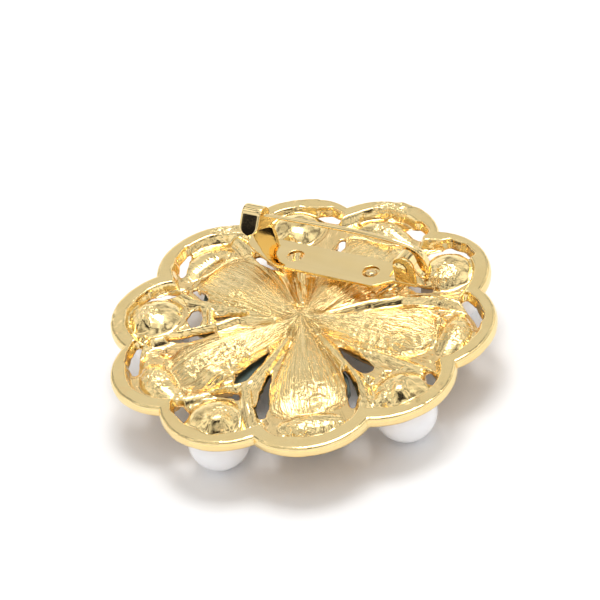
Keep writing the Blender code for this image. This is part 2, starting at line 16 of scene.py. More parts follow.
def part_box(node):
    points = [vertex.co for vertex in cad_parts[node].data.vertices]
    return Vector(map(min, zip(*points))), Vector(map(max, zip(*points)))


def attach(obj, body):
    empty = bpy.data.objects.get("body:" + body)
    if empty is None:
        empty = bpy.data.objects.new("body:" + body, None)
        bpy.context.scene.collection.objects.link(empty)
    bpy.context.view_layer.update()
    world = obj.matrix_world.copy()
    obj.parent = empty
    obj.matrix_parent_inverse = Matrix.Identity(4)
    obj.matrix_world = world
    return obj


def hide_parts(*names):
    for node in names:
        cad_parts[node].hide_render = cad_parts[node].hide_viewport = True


MM = 0.001

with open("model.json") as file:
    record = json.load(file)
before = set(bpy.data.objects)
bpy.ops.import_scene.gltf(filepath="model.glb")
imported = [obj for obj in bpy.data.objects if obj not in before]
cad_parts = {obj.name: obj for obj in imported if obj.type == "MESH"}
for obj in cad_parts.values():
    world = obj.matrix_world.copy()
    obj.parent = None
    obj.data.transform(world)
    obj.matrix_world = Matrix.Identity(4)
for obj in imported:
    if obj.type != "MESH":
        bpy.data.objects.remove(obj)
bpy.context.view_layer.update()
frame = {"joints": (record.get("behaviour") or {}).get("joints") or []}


def box_mm(node):
    low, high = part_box(node)
    return np.array(low) / MM, np.array(high) / MM


def centre_mm(node):
    low, high = box_mm(node)
    return 0.5 * (low + high)


# ---- heights and places, in millimetres
RIM_TOP = 8.35
RIM_BOTTOM = 6.85
WEB_TOP = 7.15
WEB_BOTTOM = 6.35
BEZEL_BOTTOM = 5.0
RIM_WIDTH = 2.35
CUSP_RADIUS = 23.35
APEX_RADII = (25.5, 25.65, 25.9, 25.9, 25.9, 25.9, 25.9, 25.65, 25.9, 25.6)
LOBES = 10
FIRST_CUSP = -4.2
PETAL_ANGLES = {"a": 160.0, "c": 233.0, "e": 301.5, "g": 11.0, "i": 86.0}
PETAL_LENGTHS = {"a": 17.6, "c": 17.6, "e": 17.4, "g": 17.0, "i": 17.6}
PETAL_BASE = 6.9
PETAL_CROWNS = {"a": 8.80, "c": 8.72, "e": 8.78, "g": 8.82, "i": 8.65}
PEARLS = {letter: centre_mm(f"pearl_{letter}") for letter in "bdfhj"}
PEARL_RADIUS = 4.0
CUP_RADIUS = 4.85
SOCKET_RADIUS = 4.25
PEAR_START, PEAR_WIDEST, PEAR_END, PEAR_HALF = 3.6, 12.4, 17.8, 5.3  # a petal stone's outline
RHINESTONES = [f"rhinestone_{letter}{index}" for letter in "acegi" for index in (1, 2, 3)]

STEP = 0.13  # spacing of the casting's samples
GRID_HALF = 26.5
GRID_BOTTOM, GRID_TOP = 3.95, 9.35
FAR = 1e6  # a distance larger than any in the brooch


# ---- smooth fields
RANDOM = np.random.default_rng(11).uniform(-1.0, 1.0, (256, 256))


def noise(u, v, seed=0):
    """Smooth random values from -1 to 1, with one random value for each unit square."""
    column = np.floor(u).astype(int)
    row = np.floor(v).astype(int)
    s = u - column
    t = v - row
    s = s * s * (3.0 - 2.0 * s)
    t = t * t * (3.0 - 2.0 * t)
    column = column + 17 * seed
    row = row + 41 * seed
    a = RANDOM[column % 256, row % 256]
    b = RANDOM[(column + 1) % 256, row % 256]
    c = RANDOM[column % 256, (row + 1) % 256]
    d = RANDOM[(column + 1) % 256, (row + 1) % 256]
    return (a * (1 - s) + b * s) * (1 - t) + (c * (1 - s) + d * s) * t


def smooth_max(a, b, width):
    share = np.clip(0.5 + 0.5 * (a - b) / width, 0.0, 1.0)
    return b + (a - b) * share + width * share * (1.0 - share)


def smooth_min(a, b, width):
    return -smooth_max(-a, -b, width)


def ramp(value, start, end):
    """0 before start, 1 after end, smooth between them."""
    share = np.clip((value - start) / (end - start), 0.0, 1.0)
    return share * share * (3.0 - 2.0 * share)


def turned_to(x, y, degrees):
    """Coordinates along and across a direction."""
    cos, sin = math.cos(math.radians(degrees)), math.sin(math.radians(degrees))
    return x * cos + y * sin, y * cos - x * sin


def path_distance(x, y, path):
    """Distance to a line of round dots (x, y, radius), less the radius there."""
    nearest = np.full(np.shape(x), FAR)
    for (x0, y0, r0), (x1, y1, r1) in zip(path, path[1:]):
        dx, dy = x1 - x0, y1 - y0
        share = np.clip(((x - x0) * dx + (y - y0) * dy) / (dx * dx + dy * dy), 0.0, 1.0)
        gap = np.hypot(x - x0 - dx * share, y - y0 - dy * share) - (r0 + (r1 - r0) * share)
        nearest = np.minimum(nearest, gap)
    return nearest


def rim_distance(x, y):
    """Distance outside the ten-lobed outline, negative inside it."""
    half = math.pi / LOBES
    chord = CUSP_RADIUS * math.cos(half)
    outside = np.hypot(x, y) - chord + 1.5
    for lobe, apex in enumerate(APEX_RADII):
        sagitta = apex - chord
        radius = ((CUSP_RADIUS * math.sin(half)) ** 2 + sagitta**2) / (2.0 * sagitta)
        ring = apex - radius
        turn = math.radians(FIRST_CUSP) + 2.0 * half * (lobe + 0.5)
        gap = np.hypot(x - ring * math.cos(turn), y - ring * math.sin(turn)) - radius
        outside = np.minimum(outside, gap)
    return outside


# ---- the casting's features, in millimetres
# arms from the middle to the pearl cups: dots of x, y, half width, then the arm's top
ARMS = (
    (((-3.6, -0.9, 0.5), (-8.4, -1.7, 0.6), (-10.9, -4.5, 0.7), (-13.7, -6.6, 0.7),
      (-16.9, -9.3, 0.9)), 7.95),
    (((-3.6, -0.6, 0.5), (-8.4, -0.4, 0.6), (-12.6, -0.8, 0.7), (-16.5, -0.7, 0.75), (-19.4, 0.2, 0.8)), 7.9),
    (((-13.2, -1.2, 0.55), (-11.6, -3.9, 0.55)), 7.7),
    (((-0.2, -3.8, 0.5), (-0.3, -9.4, 0.8), (-0.7, -14.0, 0.95), (1.7, -17.5, 0.9), (3.9, -20.4, 1.3)), 7.85),
    (((-0.4, -12.6, 0.7), (-3.1, -14.8, 0.7), (-5.4, -17.0, 0.8), (-8.3, -19.0, 1.0)), 7.8),
    (((3.6, -1.9, 0.5), (8.3, -4.8, 0.85), (12.4, -8.0, 0.95), (15.0, -10.6, 1.1), (16.8, -14.8, 1.2)), 7.85),
    (((8.0, -2.6, 0.6), (13.6, -2.9, 0.7), (18.0, -3.5, 0.8), (21.6, -4.2, 0.8)), 7.8),
    (((2.2, 2.4, 0.5), (6.0, 5.8, 0.75), (10.2, 8.3, 0.85), (14.6, 9.6, 0.85), (19.0, 9.6, 0.9)), 7.9),
    (((6.0, 5.8, 0.7), (8.0, 9.6, 0.7), (9.0, 13.6, 0.8)), 7.75),
    (((-1.9, 3.4, 0.5), (-5.0, 7.8, 0.7), (-8.3, 13.8, 0.8)), 7.8),
    (((-3.2, 3.0, 0.5), (-7.8, 7.2, 0.8), (-12.6, 9.9, 0.9), (-17.0, 12.6, 1.0)), 7.85),
)

# openings through the web: dots of x, y and half width along each one
OPENINGS = (
    ((-1.6, -6.4, 0.1), (-2.1, -9.2, 0.52), (-2.4, -11.6, 0.86), (-2.3, -12.3, 0.72)),
    ((0.75, -10.2, 0.12), (1.7, -13.2, 0.45), (3.0, -16.0, 0.72), (3.8, -17.6, 0.35)),
    ((6.9, -2.6, 0.12), (9.1, -3.8, 0.62), (11.3, -4.9, 0.92), (12.1, -5.2, 0.78)),
    ((9.6, -6.6, 0.1), (11.6, -8.6, 0.35), (13.0, -10.6, 0.5), (13.9, -12.2, 0.22)),
    ((18.3, 10.3, 0.3), (19.6, 9.3, 0.52), (21.5, 7.6, 0.36), (22.0, 6.9, 0.2)),
    ((9.3, 15.2, 0.35), (9.7, 17.8, 0.62), (11.4, 19.3, 0.5), (13.4, 19.2, 0.3), (15.0, 18.4, 0.12)),
    ((4.4, 21.6, 0.5), (5.4, 21.4, 0.72), (6.5, 20.8, 0.62)),
    ((-8.9, 20.6, 0.25), (-7.4, 20.9, 0.42), (-5.9, 20.6, 0.32)),
    ((-22.0, 8.0, 0.15), (-21.7, 6.2, 0.42), (-21.1, 4.6, 0.38), (-20.6, 3.9, 0.2)),
    ((-12.6, 10.4, 0.3), (-11.0, 9.7, 0.5), (-9.2, 8.9, 0.25)),
    ((-14.9, -2.3, 0.6), (-14.5, -3.3, 0.92), (-13.9, -4.3, 0.6)),
    ((-8.0, -1.1, 0.12), (-10.1, -1.8, 0.38), (-11.4, -2.3, 0.36)),
    ((-17.4, 1.7, 0.22), (-16.2, 1.4, 0.45), (-15.2, 0.7, 0.28)),
    ((-22.6, -3.2, 0.12), (-22.0, -1.6, 0.32), (-20.6, -0.4, 0.34), (-18.9, 0.1, 0.15)),
    ((-15.2, -8.3, 0.18), (-13.4, -7.4, 0.38), (-11.6, -5.9, 0.32), (-10.6, -5.0, 0.1)),
    ((-18.3, -11.2, 0.22), (-17.8, -12.9, 0.4), (-17.1, -14.4, 0.52), (-16.4, -15.3, 0.3)),
    ((-7.1, -19.6, 0.5), (-6.3, -20.4, 0.75), (-5.7, -21.0, 0.5)),
    ((-3.9, -15.9, 0.15), (-2.7, -15.4, 0.36), (-1.5, -15.2, 0.4), (-0.9, -15.6, 0.2)),
    ((20.3, -3.9, 0.35), (20.9, -4.5, 0.5), (21.2, -5.2, 0.35)),
    ((-3.4, 16.8, 0.35), (-3.0, 15.4, 0.5), (-2.8, 14.2, 0.3)),
    ((9.9, 11.2, 0.25), (11.2, 11.0, 0.45), (12.6, 11.2, 0.35)),
    ((6.4, 8.4, 0.12), (7.0, 9.9, 0.38), (7.3, 11.0, 0.3)),
    ((-5.4, 10.6, 0.15), (-6.4, 12.4, 0.4), (-7.2, 14.0, 0.2)),
)

# hollows that don't go through: dots, then depth
HOLLOWS = (
    (((-23.2, -5.6, 0.2), (-22.9, -2.8, 0.5), (-21.2, -0.2, 0.6), (-18.8, 0.9, 0.3)), 0.75),
    (((-20.4, 12.2, 0.2), (-17.4, 13.2, 0.5), (-14.4, 12.8, 0.3)), 0.6),
    (((-2.6, 21.6, 0.3), (0.2, 22.6, 0.6), (2.8, 22.4, 0.5), (4.6, 21.6, 0.4)), 0.6),
    (((9.6, 15.8, 0.4), (9.8, 18.3, 0.9), (12.0, 19.8, 0.9), (15.6, 18.8, 0.6)), 0.6),
    (((17.2, 16.0, 0.4), (18.4, 13.6, 0.7), (18.6, 11.4, 0.4)), 0.5),
    (((18.0, 10.4, 0.5), (20.0, 9.2, 0.9), (22.2, 6.6, 0.6)), 0.5),
    (((23.2, 4.6, 0.15), (23.0, 1.2, 0.45), (22.2, -1.2, 0.2)), 0.5),
    (((-11.6, 20.8, 0.3), (-8.6, 21.4, 0.8), (-5.6, 20.9, 0.5)), 0.6),
    (((-12.4, -9.6, 0.3), (-13.4, -10.4, 0.5), (-14.6, -10.4, 0.3)), 0.6),
    (((-18.2, -10.6, 0.3), (-17.9, -12.6, 0.8), (-16.6, -15.4, 0.7)), 0.5),
    (((-4.4, -14.4, 0.2), (-6.2, -15.4, 0.45), (-7.6, -16.6, 0.3)), 0.6),
    (((-8.0, -17.8, 0.3), (-7.4, -19.4, 0.7), (-5.8, -21.2, 0.8)), 0.5),
    (((3.6, -20.2, 0.2), (4.6, -19.2, 0.5)), 0.35),
    (((6.2, -21.4, 0.2), (8.6, -22.6, 0.45), (11.6, -22.1, 0.2)), 0.4),
    (((15.4, -5.6, 0.3), (17.6, -5.0, 0.5), (20.6, -5.4, 0.7)), 0.5),
    (((12.4, 5.6, 0.3), (15.0, 6.4, 0.7), (17.4, 7.2, 0.4)), 0.5),
    (((2.6, 3.6, 0.1), (4.6, 5.4, 0.3), (5.6, 7.6, 0.5)), 0.5),
)

# small bumps left by the mould: x, y, radius, height above the web
NUBS = (
    (14.2, -16.0, 1.0, 0.8), (15.3, -14.9, 0.8, 0.7), (13.6, -7.4, 0.9, 0.95), (14.9, -5.9, 0.6, 0.6),
    (-4.2, -17.6, 0.7, 0.5), (-10.2, -11.2, 0.6, 0.4), (16.8, 6.0, 0.8, 0.6), (-20.6, -10.4, 0.9, 0.6),
    (-18.9, -9.2, 0.7, 0.6), (7.0, 17.4, 0.9, 0.5), (4.5, -19.3, 0.7, 0.5), (-9.5, 8.1, 0.8, 0.5),
)

# patches that were left rough in casting: x, y, radius, strength
ROUGH = (
    (-20.6, -5.9, 2.6, 1.0), (-12.6, -15.9, 3.0, 1.0), (-0.4, -20.2, 2.2, 0.8), (9.8, -18.4, 3.2, 1.0),
    (17.6, -9.3, 2.6, 0.9), (20.9, 3.6, 2.4, 1.0), (13.6, 13.4, 2.6, 1.0), (1.4, 20.4, 2.4, 1.0),
    (-5.0, -9.0, 3.2, 0.75), (-8.6, -12.6, 3.0, 0.7), (10.6, -0.4, 4.2, 0.8), (14.2, -0.6, 2.6, 0.8),
    (8.4, -12.4, 3.0, 0.55), (-11.0, 1.0, 2.4, 0.9), (-17.6, 9.6, 2.4, 0.5), (-16.0, 16.6, 2.6, 0.5),
    (0.2, 24.0, 3.2, 0.8), (-19.8, 14.0, 3.0, 0.8), (5.0, 18.5, 2.2, 0.6), (16.6, 8.8, 2.0, 0.5),
)

# short steep faces where the wax was pressed: x, y, half length, drop
FACES = (
    (0.2, -22.0, 1.5, 0.75), (-5.0, -13.4, 1.7, 0.85), (14.6, -0.8, 1.3, 0.80), (17.6, -11.4, 1.0, 0.65),
    (-19.8, -7.9, 1.1, 0.65), (-3.0, -11.0, 1.2, 0.6), (19.6, -9.8, 0.9, 0.5), (17.6, 1.2, 1.1, 0.6),
)
FACES_TOWARDS = -54.0  # the direction that they all face, in degrees

# places where the rim was hammered: x, y
HAMMERED = ((-18.6, 16.2), (-12.0, 21.6), (2.0, 24.8), (-23.6, -8.4), (22.6, -9.6))


def petal_half_width(along, length):
    """A petal widens slowly and closes in a broad round end."""
    share = np.clip(along / length, 0.0, 1.0)
    return 6.35 * share**0.86 * np.sqrt(np.maximum(1.0 - share**7, 0.0))


def petal_height(x, y, letter):
    length = PETAL_LENGTHS[letter] + 0.5
    along, across = turned_to(x, y, PETAL_ANGLES[letter])
    wide = petal_half_width(along, length)
    share = np.clip(along / length, 0.0, 1.0)
    rise = (PETAL_CROWNS[letter] - PETAL_BASE) * np.maximum(1.0 - share**4.5, 0.0) ** 0.75
    spread = np.clip(1.0 - (across / np.maximum(wide, 0.01)) ** 2, -4.0, 1.0)
    height = PETAL_BASE + rise * np.sign(spread) * np.abs(spread) ** 0.62
    return np.where(along > 0.0, height, 0.0)


def strokes(x, y):
    """Where the brushing lines run: the petals' own fan, and rays from the middle elsewhere."""
    radius = np.hypot(x, y)
    angle = np.degrees(np.arctan2(y, x))
    fan = angle * 0.21
    for letter, degrees in PETAL_ANGLES.items():
        along, across = turned_to(x, y, degrees)
        wide = petal_half_width(along, PETAL_LENGTHS[letter] + 1.5) + 0.3
        inside = (np.abs(across) < wide) & (along > 0.0) & (radius < PETAL_LENGTHS[letter] + 1.0)
        fan = np.where(inside, 9.0 * across / wide + 3.7 * degrees, fan)
    return fan, radius


def brushed_share(x, y):
    """How strongly a place was brushed: petals most, the web less, rim and domes hardly."""
    share = 0.14 + 0.36 * ramp(-rim_distance(x, y), 1.8, 2.9)
    for letter, degrees in PETAL_ANGLES.items():
        along, across = turned_to(x, y, degrees)
        wide = petal_half_width(along, PETAL_LENGTHS[letter] + 0.8) + 0.2
        inside = (1.0 - ramp(np.abs(across) - wide, -0.3, 0.3)) * (1.0 - ramp(along, 17.4, 18.6))
        share = np.maximum(share, inside * ramp(along, 0.3, 2.0))
    for cx, cy, _ in PEARLS.values():
        share = np.where(np.hypot(x - cx, y - cy) < CUP_RADIUS - 0.4, 0.16, share)
    return share


def rough_share(x, y):
    total = np.zeros(np.shape(x))
    for cx, cy, radius, strength in ROUGH:
        total = np.maximum(total, strength * (1.0 - ramp(np.hypot(x - cx, y - cy), 0.35 * radius, radius)))
    return total


def back_height(x, y, inset):
    """Height of the casting's back, which faces up."""
    fan, radius = strokes(x, y)
    rough = rough_share(x, y)
    height = WEB_TOP + 0.10 * noise(x / 2.4, y / 2.4, 1) + 0.04 * noise(x / 0.9, y / 0.9, 2)
    wide = RIM_WIDTH + 0.4 * np.exp(-((np.hypot(x - 13.0, y + 20.6) / 6.0) ** 2))
    band = 1.0 - ramp(inset - wide + 0.22 * noise(x / 2.6, y / 2.6, 3), -0.5, 0.4)
    for path, depth in HOLLOWS:
        height = height - depth * (1.0 - ramp(path_distance(x, y, path), -0.1, 0.7))
    height = height + (RIM_TOP - 0.04 + 0.03 * noise(x / 1.6, y / 1.6, 4) - height) * band
    for letter in PETAL_ANGLES:
        height = smooth_max(height, petal_height(x, y, letter), 0.22)
    height = smooth_max(height, 8.72 - 0.13 * radius**2, 0.35)
    for path, top in ARMS:
        away = path_distance(x, y, [(px, py, 0.0) for px, py, wide in path])
        wide = 1.0
        for px, py, dot in path:
            wide = np.where(np.hypot(x - px, y - py) < 4.0, 0.5 * (wide + dot * 1.35), wide)
        height = smooth_max(height, top - 1.0 * (away / wide) ** 2, 0.25)
    for cx, cy, _ in PEARLS.values():
        away = np.hypot(x - cx, y - cy)
        cap = PEARL_RADIUS + np.sqrt(np.maximum(CUP_RADIUS**2 - away**2, 0.0))
        cap = cap + 0.10 * noise(x / 1.7, y / 1.7, 5)
        height = smooth_max(height, np.where(away < CUP_RADIUS, cap, 0.0), 0.45)
    for letter, degrees in PETAL_ANGLES.items():
        out, side = turned_to(x, y, degrees)
        spread = np.clip(1.0 - (side / 4.2) ** 2 - ((out - 20.4 + 0.03 * side**2) / 2.2) ** 2, -4.0, 1.0)
        height = smooth_max(height, 6.85 + 1.3 * np.sign(spread) * np.abs(spread) ** 0.6, 0.3)
    for cx, cy, wide, tall in NUBS:
        height = smooth_max(height, WEB_TOP + tall - tall * (np.hypot(x - cx, y - cy) / wide) ** 2 * 1.4, 0.2)
    # brushing: long grooves that fade out at the middle, where they would crowd together
    deep = 0.12 * ramp(radius, 1.5, 8.0) * brushed_share(x, y)
    height = height - 1.3 * deep * (1.0 - np.sqrt(np.abs(noise(fan * 0.75, radius * 0.10, 6)))) ** 2
    height = height + 0.5 * deep * noise(fan * 1.5, radius * 0.2, 7)
    for cx, cy, half, drop in FACES:
        near, side = turned_to(x - cx, y - cy, FACES_TOWARDS)
        shape = ramp(near, -2.6, -0.4) * (1.0 - ramp(near, -0.35, 0.75))
        height = height + drop * shape * np.exp(-((side / half) ** 4))
    # rough skin: small lumps broken up along the brushing
    lumps = noise(x / 0.42, y / 0.42, 8) + 0.8 * noise(x / 0.85, y / 0.85, 9)
    height = height + 0.12 * rough * lumps + 0.09 * rough * noise(fan * 1.6, radius * 1.1, 10)
    for cx, cy in HAMMERED:
        share = band * np.exp(-((np.hypot(x - cx, y - cy) / 4.5) ** 2))
        height = height + 0.06 * share * noise(x / 0.7, y / 0.7, 14)
    # the rim's outer edge is rolled over
    edge = np.clip(1.0 - inset / 0.6, 0.0, 1.0)
    return height - 0.45 * (1.0 - np.sqrt(1.0 - edge**2))


def pear_half_width(along, margin=0.0):
    """Half width of a petal stone whose outline is moved outwards by the margin."""
    start, end, half = PEAR_START - margin, PEAR_END + margin, PEAR_HALF + margin
    near = np.clip((PEAR_WIDEST - along) / (PEAR_WIDEST - start), 0.0, 1.0)
    far = np.clip((along - PEAR_WIDEST) / (end - PEAR_WIDEST), 0.0, 1.0)
    point = half * np.cos(0.5 * math.pi * near) ** 0.9
    return np.where(along < PEAR_WIDEST, point, half * np.sqrt(1.0 - far**2))


def stone_outline_distance(x, y, degrees):
    """Roughly the distance outside a petal stone's outline."""
    along, across = turned_to(x, y, degrees)
    beyond = np.maximum(PEAR_START - along, along - PEAR_END)
    return 0.8 * np.maximum(np.abs(across) - pear_half_width(along), beyond)


def front_height(x, y, inset, hole):
    """Height of the casting's front, which faces down: web, rolled rim and bezels."""
    band = 1.0 - ramp(inset, RIM_WIDTH - 0.3, RIM_WIDTH + 0.3)
    height = WEB_BOTTOM + (RIM_BOTTOM - WEB_BOTTOM) * band + 0.05 * noise(x / 1.5, y / 1.5, 12)
    height = height + 0.4 * (1.0 - ramp(hole, 0.1, 0.9)) * (1.0 - band)
    edge = np.clip(1.0 - inset / 0.5, 0.0, 1.0)
    height = height + 0.3 * (1.0 - np.sqrt(1.0 - edge**2))
    lifted = BEZEL_BOTTOM + 1.25 * (1.0 - ramp(hole, 0.3, 1.6))  # open places let the stones' sides show
    for degrees in PETAL_ANGLES.values():
        wall = np.abs(stone_outline_distance(x, y, degrees) - 0.5) - 0.24
        height = smooth_min(height, lifted + 5.0 * np.maximum(wall, 0.0), 0.15)
    wall = np.abs(np.hypot(x, y) - 2.35) - 0.25
    height = smooth_min(height, 4.2 + 5.0 * np.maximum(wall, 0.0), 0.15)
    height = np.where(np.hypot(x, y) < 2.1, np.minimum(height, BEZEL_BOTTOM), height)
    for name in RHINESTONES:
        cx, cy, _ = centre_mm(name)
        wall = np.abs(np.hypot(x - cx, y - cy) - 1.45) - 0.16
        height = smooth_min(height, 5.45 + 5.0 * np.maximum(wall, 0.0), 0.12)
    return height


def casting_field():
    """Samples of the casting's solid, negative inside it, with the grid's first corner."""
    xs = np.arange(-GRID_HALF, GRID_HALF, STEP)
    zs = np.arange(GRID_BOTTOM, GRID_TOP, STEP)
    x, y = np.meshgrid(xs, xs, indexing="ij")
    edge = rim_distance(x, y)
    hole = np.full(x.shape, FAR)
    for path in OPENINGS:
        hole = np.minimum(hole, path_distance(x, y, path))
    hole = (hole - 0.08 + 0.06 * noise(x / 0.8, y / 0.8, 13)).astype(np.float32)
    top = back_height(x, y, -edge).astype(np.float32)
    bottom = front_height(x, y, -edge, hole).astype(np.float32)
    z = zs.astype(np.float32)[None, None, :]
    # a shallow parting line runs round the rim's side
    parting = 0.15 * np.exp(-(((z - 7.95) / 0.11) ** 2))
    field = np.maximum(z - top[:, :, None], bottom[:, :, None] - z)
    field = smooth_max(field, edge.astype(np.float32)[:, :, None] + parting, 0.12)
    # the openings flare towards the back
    flare = 0.45 * np.clip(z - WEB_TOP + 0.3, 0.0, 1.0)
    above = z > BEZEL_BOTTOM + 0.35
    field = np.where(above, smooth_max(field, -(hole[:, :, None] - flare), 0.12), field)
    for cx, cy, cz in PEARLS.values():
        gap = np.sqrt(((x - cx) ** 2 + (y - cy) ** 2)[:, :, None] + (z - cz) ** 2) - SOCKET_RADIUS
        field = np.maximum(field, -gap.astype(np.float32))
    return field, np.array([xs[0], xs[0], zs[0]])


def surface_mesh(name, field, corner, step):
    """Closed quad mesh of the zero level of a sampled field (surface nets), in metres."""
    inside = field < 0.0
    shape = np.array(field.shape)
    count = np.zeros(shape - 1, np.int8)
    corners = [(i, j, k) for i in (0, 1) for j in (0, 1) for k in (0, 1)]
    for i, j, k in corners:
        count += inside[i:shape[0] - 1 + i, j:shape[1] - 1 + j, k:shape[2] - 1 + k]
    active = (count > 0) & (count < 8)
    cells = np.stack(np.nonzero(active), 1)
    number = np.full(active.shape, -1, np.int32)
    number[active] = np.arange(len(cells))
    values = {c: field[cells[:, 0] + c[0], cells[:, 1] + c[1], cells[:, 2] + c[2]] for c in corners}
    total = np.zeros((len(cells), 3))
    hits = np.zeros(len(cells))
    for first in corners:
        for axis in range(3):
            if first[axis] == 1:
                continue
            last = tuple(1 if n == axis else first[n] for n in range(3))
            a, b = values[first], values[last]
            crossing = (a < 0.0) != (b < 0.0)
            share = np.where(crossing, a / np.where(crossing, a - b, 1.0), 0.0)
            point = np.array(first, float)[None, :] + share[:, None] * np.eye(3)[axis][None, :]
            total += point * crossing[:, None]
            hits += crossing
    points = (cells + total / hits[:, None]) * step + corner
    quads = []
    for axis in range(3):
        u, v = (axis + 1) % 3, (axis + 2) % 3
        near = [slice(None)] * 3
        far = [slice(None)] * 3
        near[axis] = slice(0, -1)
        far[axis] = slice(1, None)
        lower = inside[tuple(near)]
        place = np.array(np.nonzero(lower != inside[tuple(far)]))
        outward = lower[tuple(place)]
        ring = []
        for du, dv in ((1, 1), (0, 1), (0, 0), (1, 0)):
            cell = place.copy()
            cell[u] -= du
            cell[v] -= dv
            ring.append(number[tuple(cell)])
        ring = np.stack(ring, 1)
        ring[~outward] = ring[~outward][:, ::-1]
        quads.append(ring)
    quads = np.concatenate(quads)
    mesh = bpy.data.meshes.new(name)
    mesh.vertices.add(len(points))
    mesh.vertices.foreach_set("co", (points * MM).astype(np.float32).ravel())
    mesh.loops.add(quads.size)
    mesh.loops.foreach_set("vertex_index", quads.astype(np.int32).ravel())
    mesh.polygons.add(len(quads))
    mesh.polygons.foreach_set("loop_start", np.arange(0, quads.size, 4, dtype=np.int32))
    mesh.update(calc_edges=True)
    mesh.validate()
    mesh.shade_smooth()
    return mesh


# ---- materials
def new_material(name, **values):
    """Material, its nodes and its shader, whose own inputs are set to plain values."""
    finish = bpy.data.materials.new(name)
    finish.use_nodes = True
    tree = finish.node_tree
    shader = tree.nodes["Principled BSDF"]
    for key, value in values.items():
        shader.inputs[key.replace("_", " ")].default_value = value
    return finish, tree, shader


def add(tree, kind, **settings):
    node = tree.nodes.new(kind)
    for key, value in settings.items():
        if key in node.inputs:
            node.inputs[key].default_value = value
        else:
            setattr(node, key, value)
    return node


def color_ramp(tree, source, stops):
    node = tree.nodes.new("ShaderNodeValToRGB")
    elements = node.color_ramp.elements
    while len(elements) < len(stops):
        elements.new(0.5)
    for element, (place, color) in zip(elements, stops):
        element.position = place
        element.color = (*color, 1.0) if isinstance(color, tuple) else (color, color, color, 1.0)
    tree.links.new(source, node.inputs[0])
    return node.outputs[0]


def object_noise(tree, scale, detail=3.0):
    place = tree.nodes.new("ShaderNodeTexCoord")
    node = add(tree, "ShaderNodeTexNoise", Scale=scale, Detail=detail, Roughness=0.55)
    tree.links.new(place.outputs["Object"], node.inputs["Vector"])
    return node.outputs["Fac"]


def feed(tree, socket, value):
    """Set a node's input to a number or colour, or link it to another node's output."""
    if isinstance(value, tuple):
        socket.default_value = (*value, 1.0)
    elif isinstance(value, (int, float)):
        socket.default_value = value
    else:
        tree.links.new(value, socket)


def clouds(tree, scale, detail, *stops):
    """Colours or numbers that drift between stops with a noise."""
    return color_ramp(tree, object_noise(tree, scale, detail), stops)


def mix_color(tree, factor, a, b, mode="MIX"):
    node = tree.nodes.new("ShaderNodeMix")
    node.data_type = "RGBA"
    node.blend_type = mode
    for socket, value in ((node.inputs[0], factor), (node.inputs[6], a), (node.inputs[7], b)):
        feed(tree, socket, value)
    return node.outputs[2]


def math_node(tree, operation, a, b):
    node = tree.nodes.new("ShaderNodeMath")
    node.operation = operation
    for socket, value in zip(node.inputs, (a, b)):
        feed(tree, socket, value)
    return node.outputs[0]


def bump(tree, height, strength, distance, below=None):
    node = add(tree, "ShaderNodeBump", Strength=strength, Distance=distance)
    tree.links.new(height, node.inputs["Height"])
    if below is not None:
        tree.links.new(below, node.inputs["Normal"])
    return node.outputs["Normal"]


PALE_GOLD = (0.90, 0.68, 0.31)
# warm dark gold: random warm patches, and also painted shade in the low places
WARM_GOLD_AND_PAINTED_SHADE = (0.92, 0.54, 0.20)
LIGHT_GOLD = (0.93, 0.73, 0.36)


def cast_gold():
    """Thin bright plating over a brushed casting: pale on the flats, with random warm patches, and painted
    shade that turns the low places warmer and darker.
    """
    finish, tree, shader = new_material("cast_gold", Metallic=1.0)
    color = clouds(tree, 260.0, 2.0, (0.32, PALE_GOLD), (0.7, LIGHT_GOLD))
    # painted shade: low places get the warm dark gold, in place of shade and light bounced between gold
    # surfaces; the blush below adds random warm patches
    painted_recess_shade = add(tree, "ShaderNodeAttribute", attribute_name="painted_recess_shade").outputs["Fac"]
    blush = clouds(tree, 520.0, 3.0, (0.58, 0.0), (0.78, 0.35))
    color = mix_color(tree, math_node(tree, "MAXIMUM", painted_recess_shade, blush), color, WARM_GOLD_AND_PAINTED_SHADE)
    tree.links.new(color, shader.inputs["Base Color"])
    rough = add(tree, "ShaderNodeAttribute", attribute_name="rough").outputs["Fac"]
    fine = object_noise(tree, 1400.0, 4.0)
    satin = math_node(tree, "MULTIPLY", math_node(tree, "SUBTRACT", 1.0, rough), 0.07)
    gloss = math_node(tree, "ADD", math_node(tree, "MULTIPLY", fine, 0.12), 0.03)
    tree.links.new(math_node(tree, "ADD", gloss, satin), shader.inputs["Roughness"])
    brushed = add(tree, "ShaderNodeAttribute", attribute_name="strokes").outputs["Vector"]
    lines = add(tree, "ShaderNodeTexNoise", Scale=1.5, Detail=3.0, Roughness=0.6)
    tree.links.new(brushed, lines.inputs["Vector"])
    share = add(tree, "ShaderNodeAttribute", attribute_name="brushed").outputs["Fac"]
    scratches = math_node(tree, "MULTIPLY", lines.outputs["Fac"], share)
    normal = bump(tree, scratches, 0.9, 0.00045)
    pits = object_noise(tree, 2600.0, 2.0)
    depth = math_node(tree, "MULTIPLY", rough, pits)
    normal = bump(tree, depth, 0.7, 0.00025, normal)
    tree.links.new(normal, shader.inputs["Normal"])
    return finish


def polished_gold():
    finish, tree, shader = new_material("polished_gold", Metallic=1.0)
    color = clouds(tree, 180.0, 2.0, (0.35, (0.92, 0.70, 0.33)), (0.75, (0.94, 0.74, 0.38)))
    tree.links.new(color, shader.inputs["Base Color"])
    gloss = math_node(tree, "MULTIPLY", object_noise(tree, 900.0, 3.0), 0.09)
    tree.links.new(gloss, shader.inputs["Roughness"])
    normal = bump(tree, object_noise(tree, 320.0, 1.0), 0.10, 0.0002)
    normal = bump(tree, object_noise(tree, 3200.0, 2.0), 0.05, 0.00005, normal)
    tree.links.new(normal, shader.inputs["Normal"])
    return finish


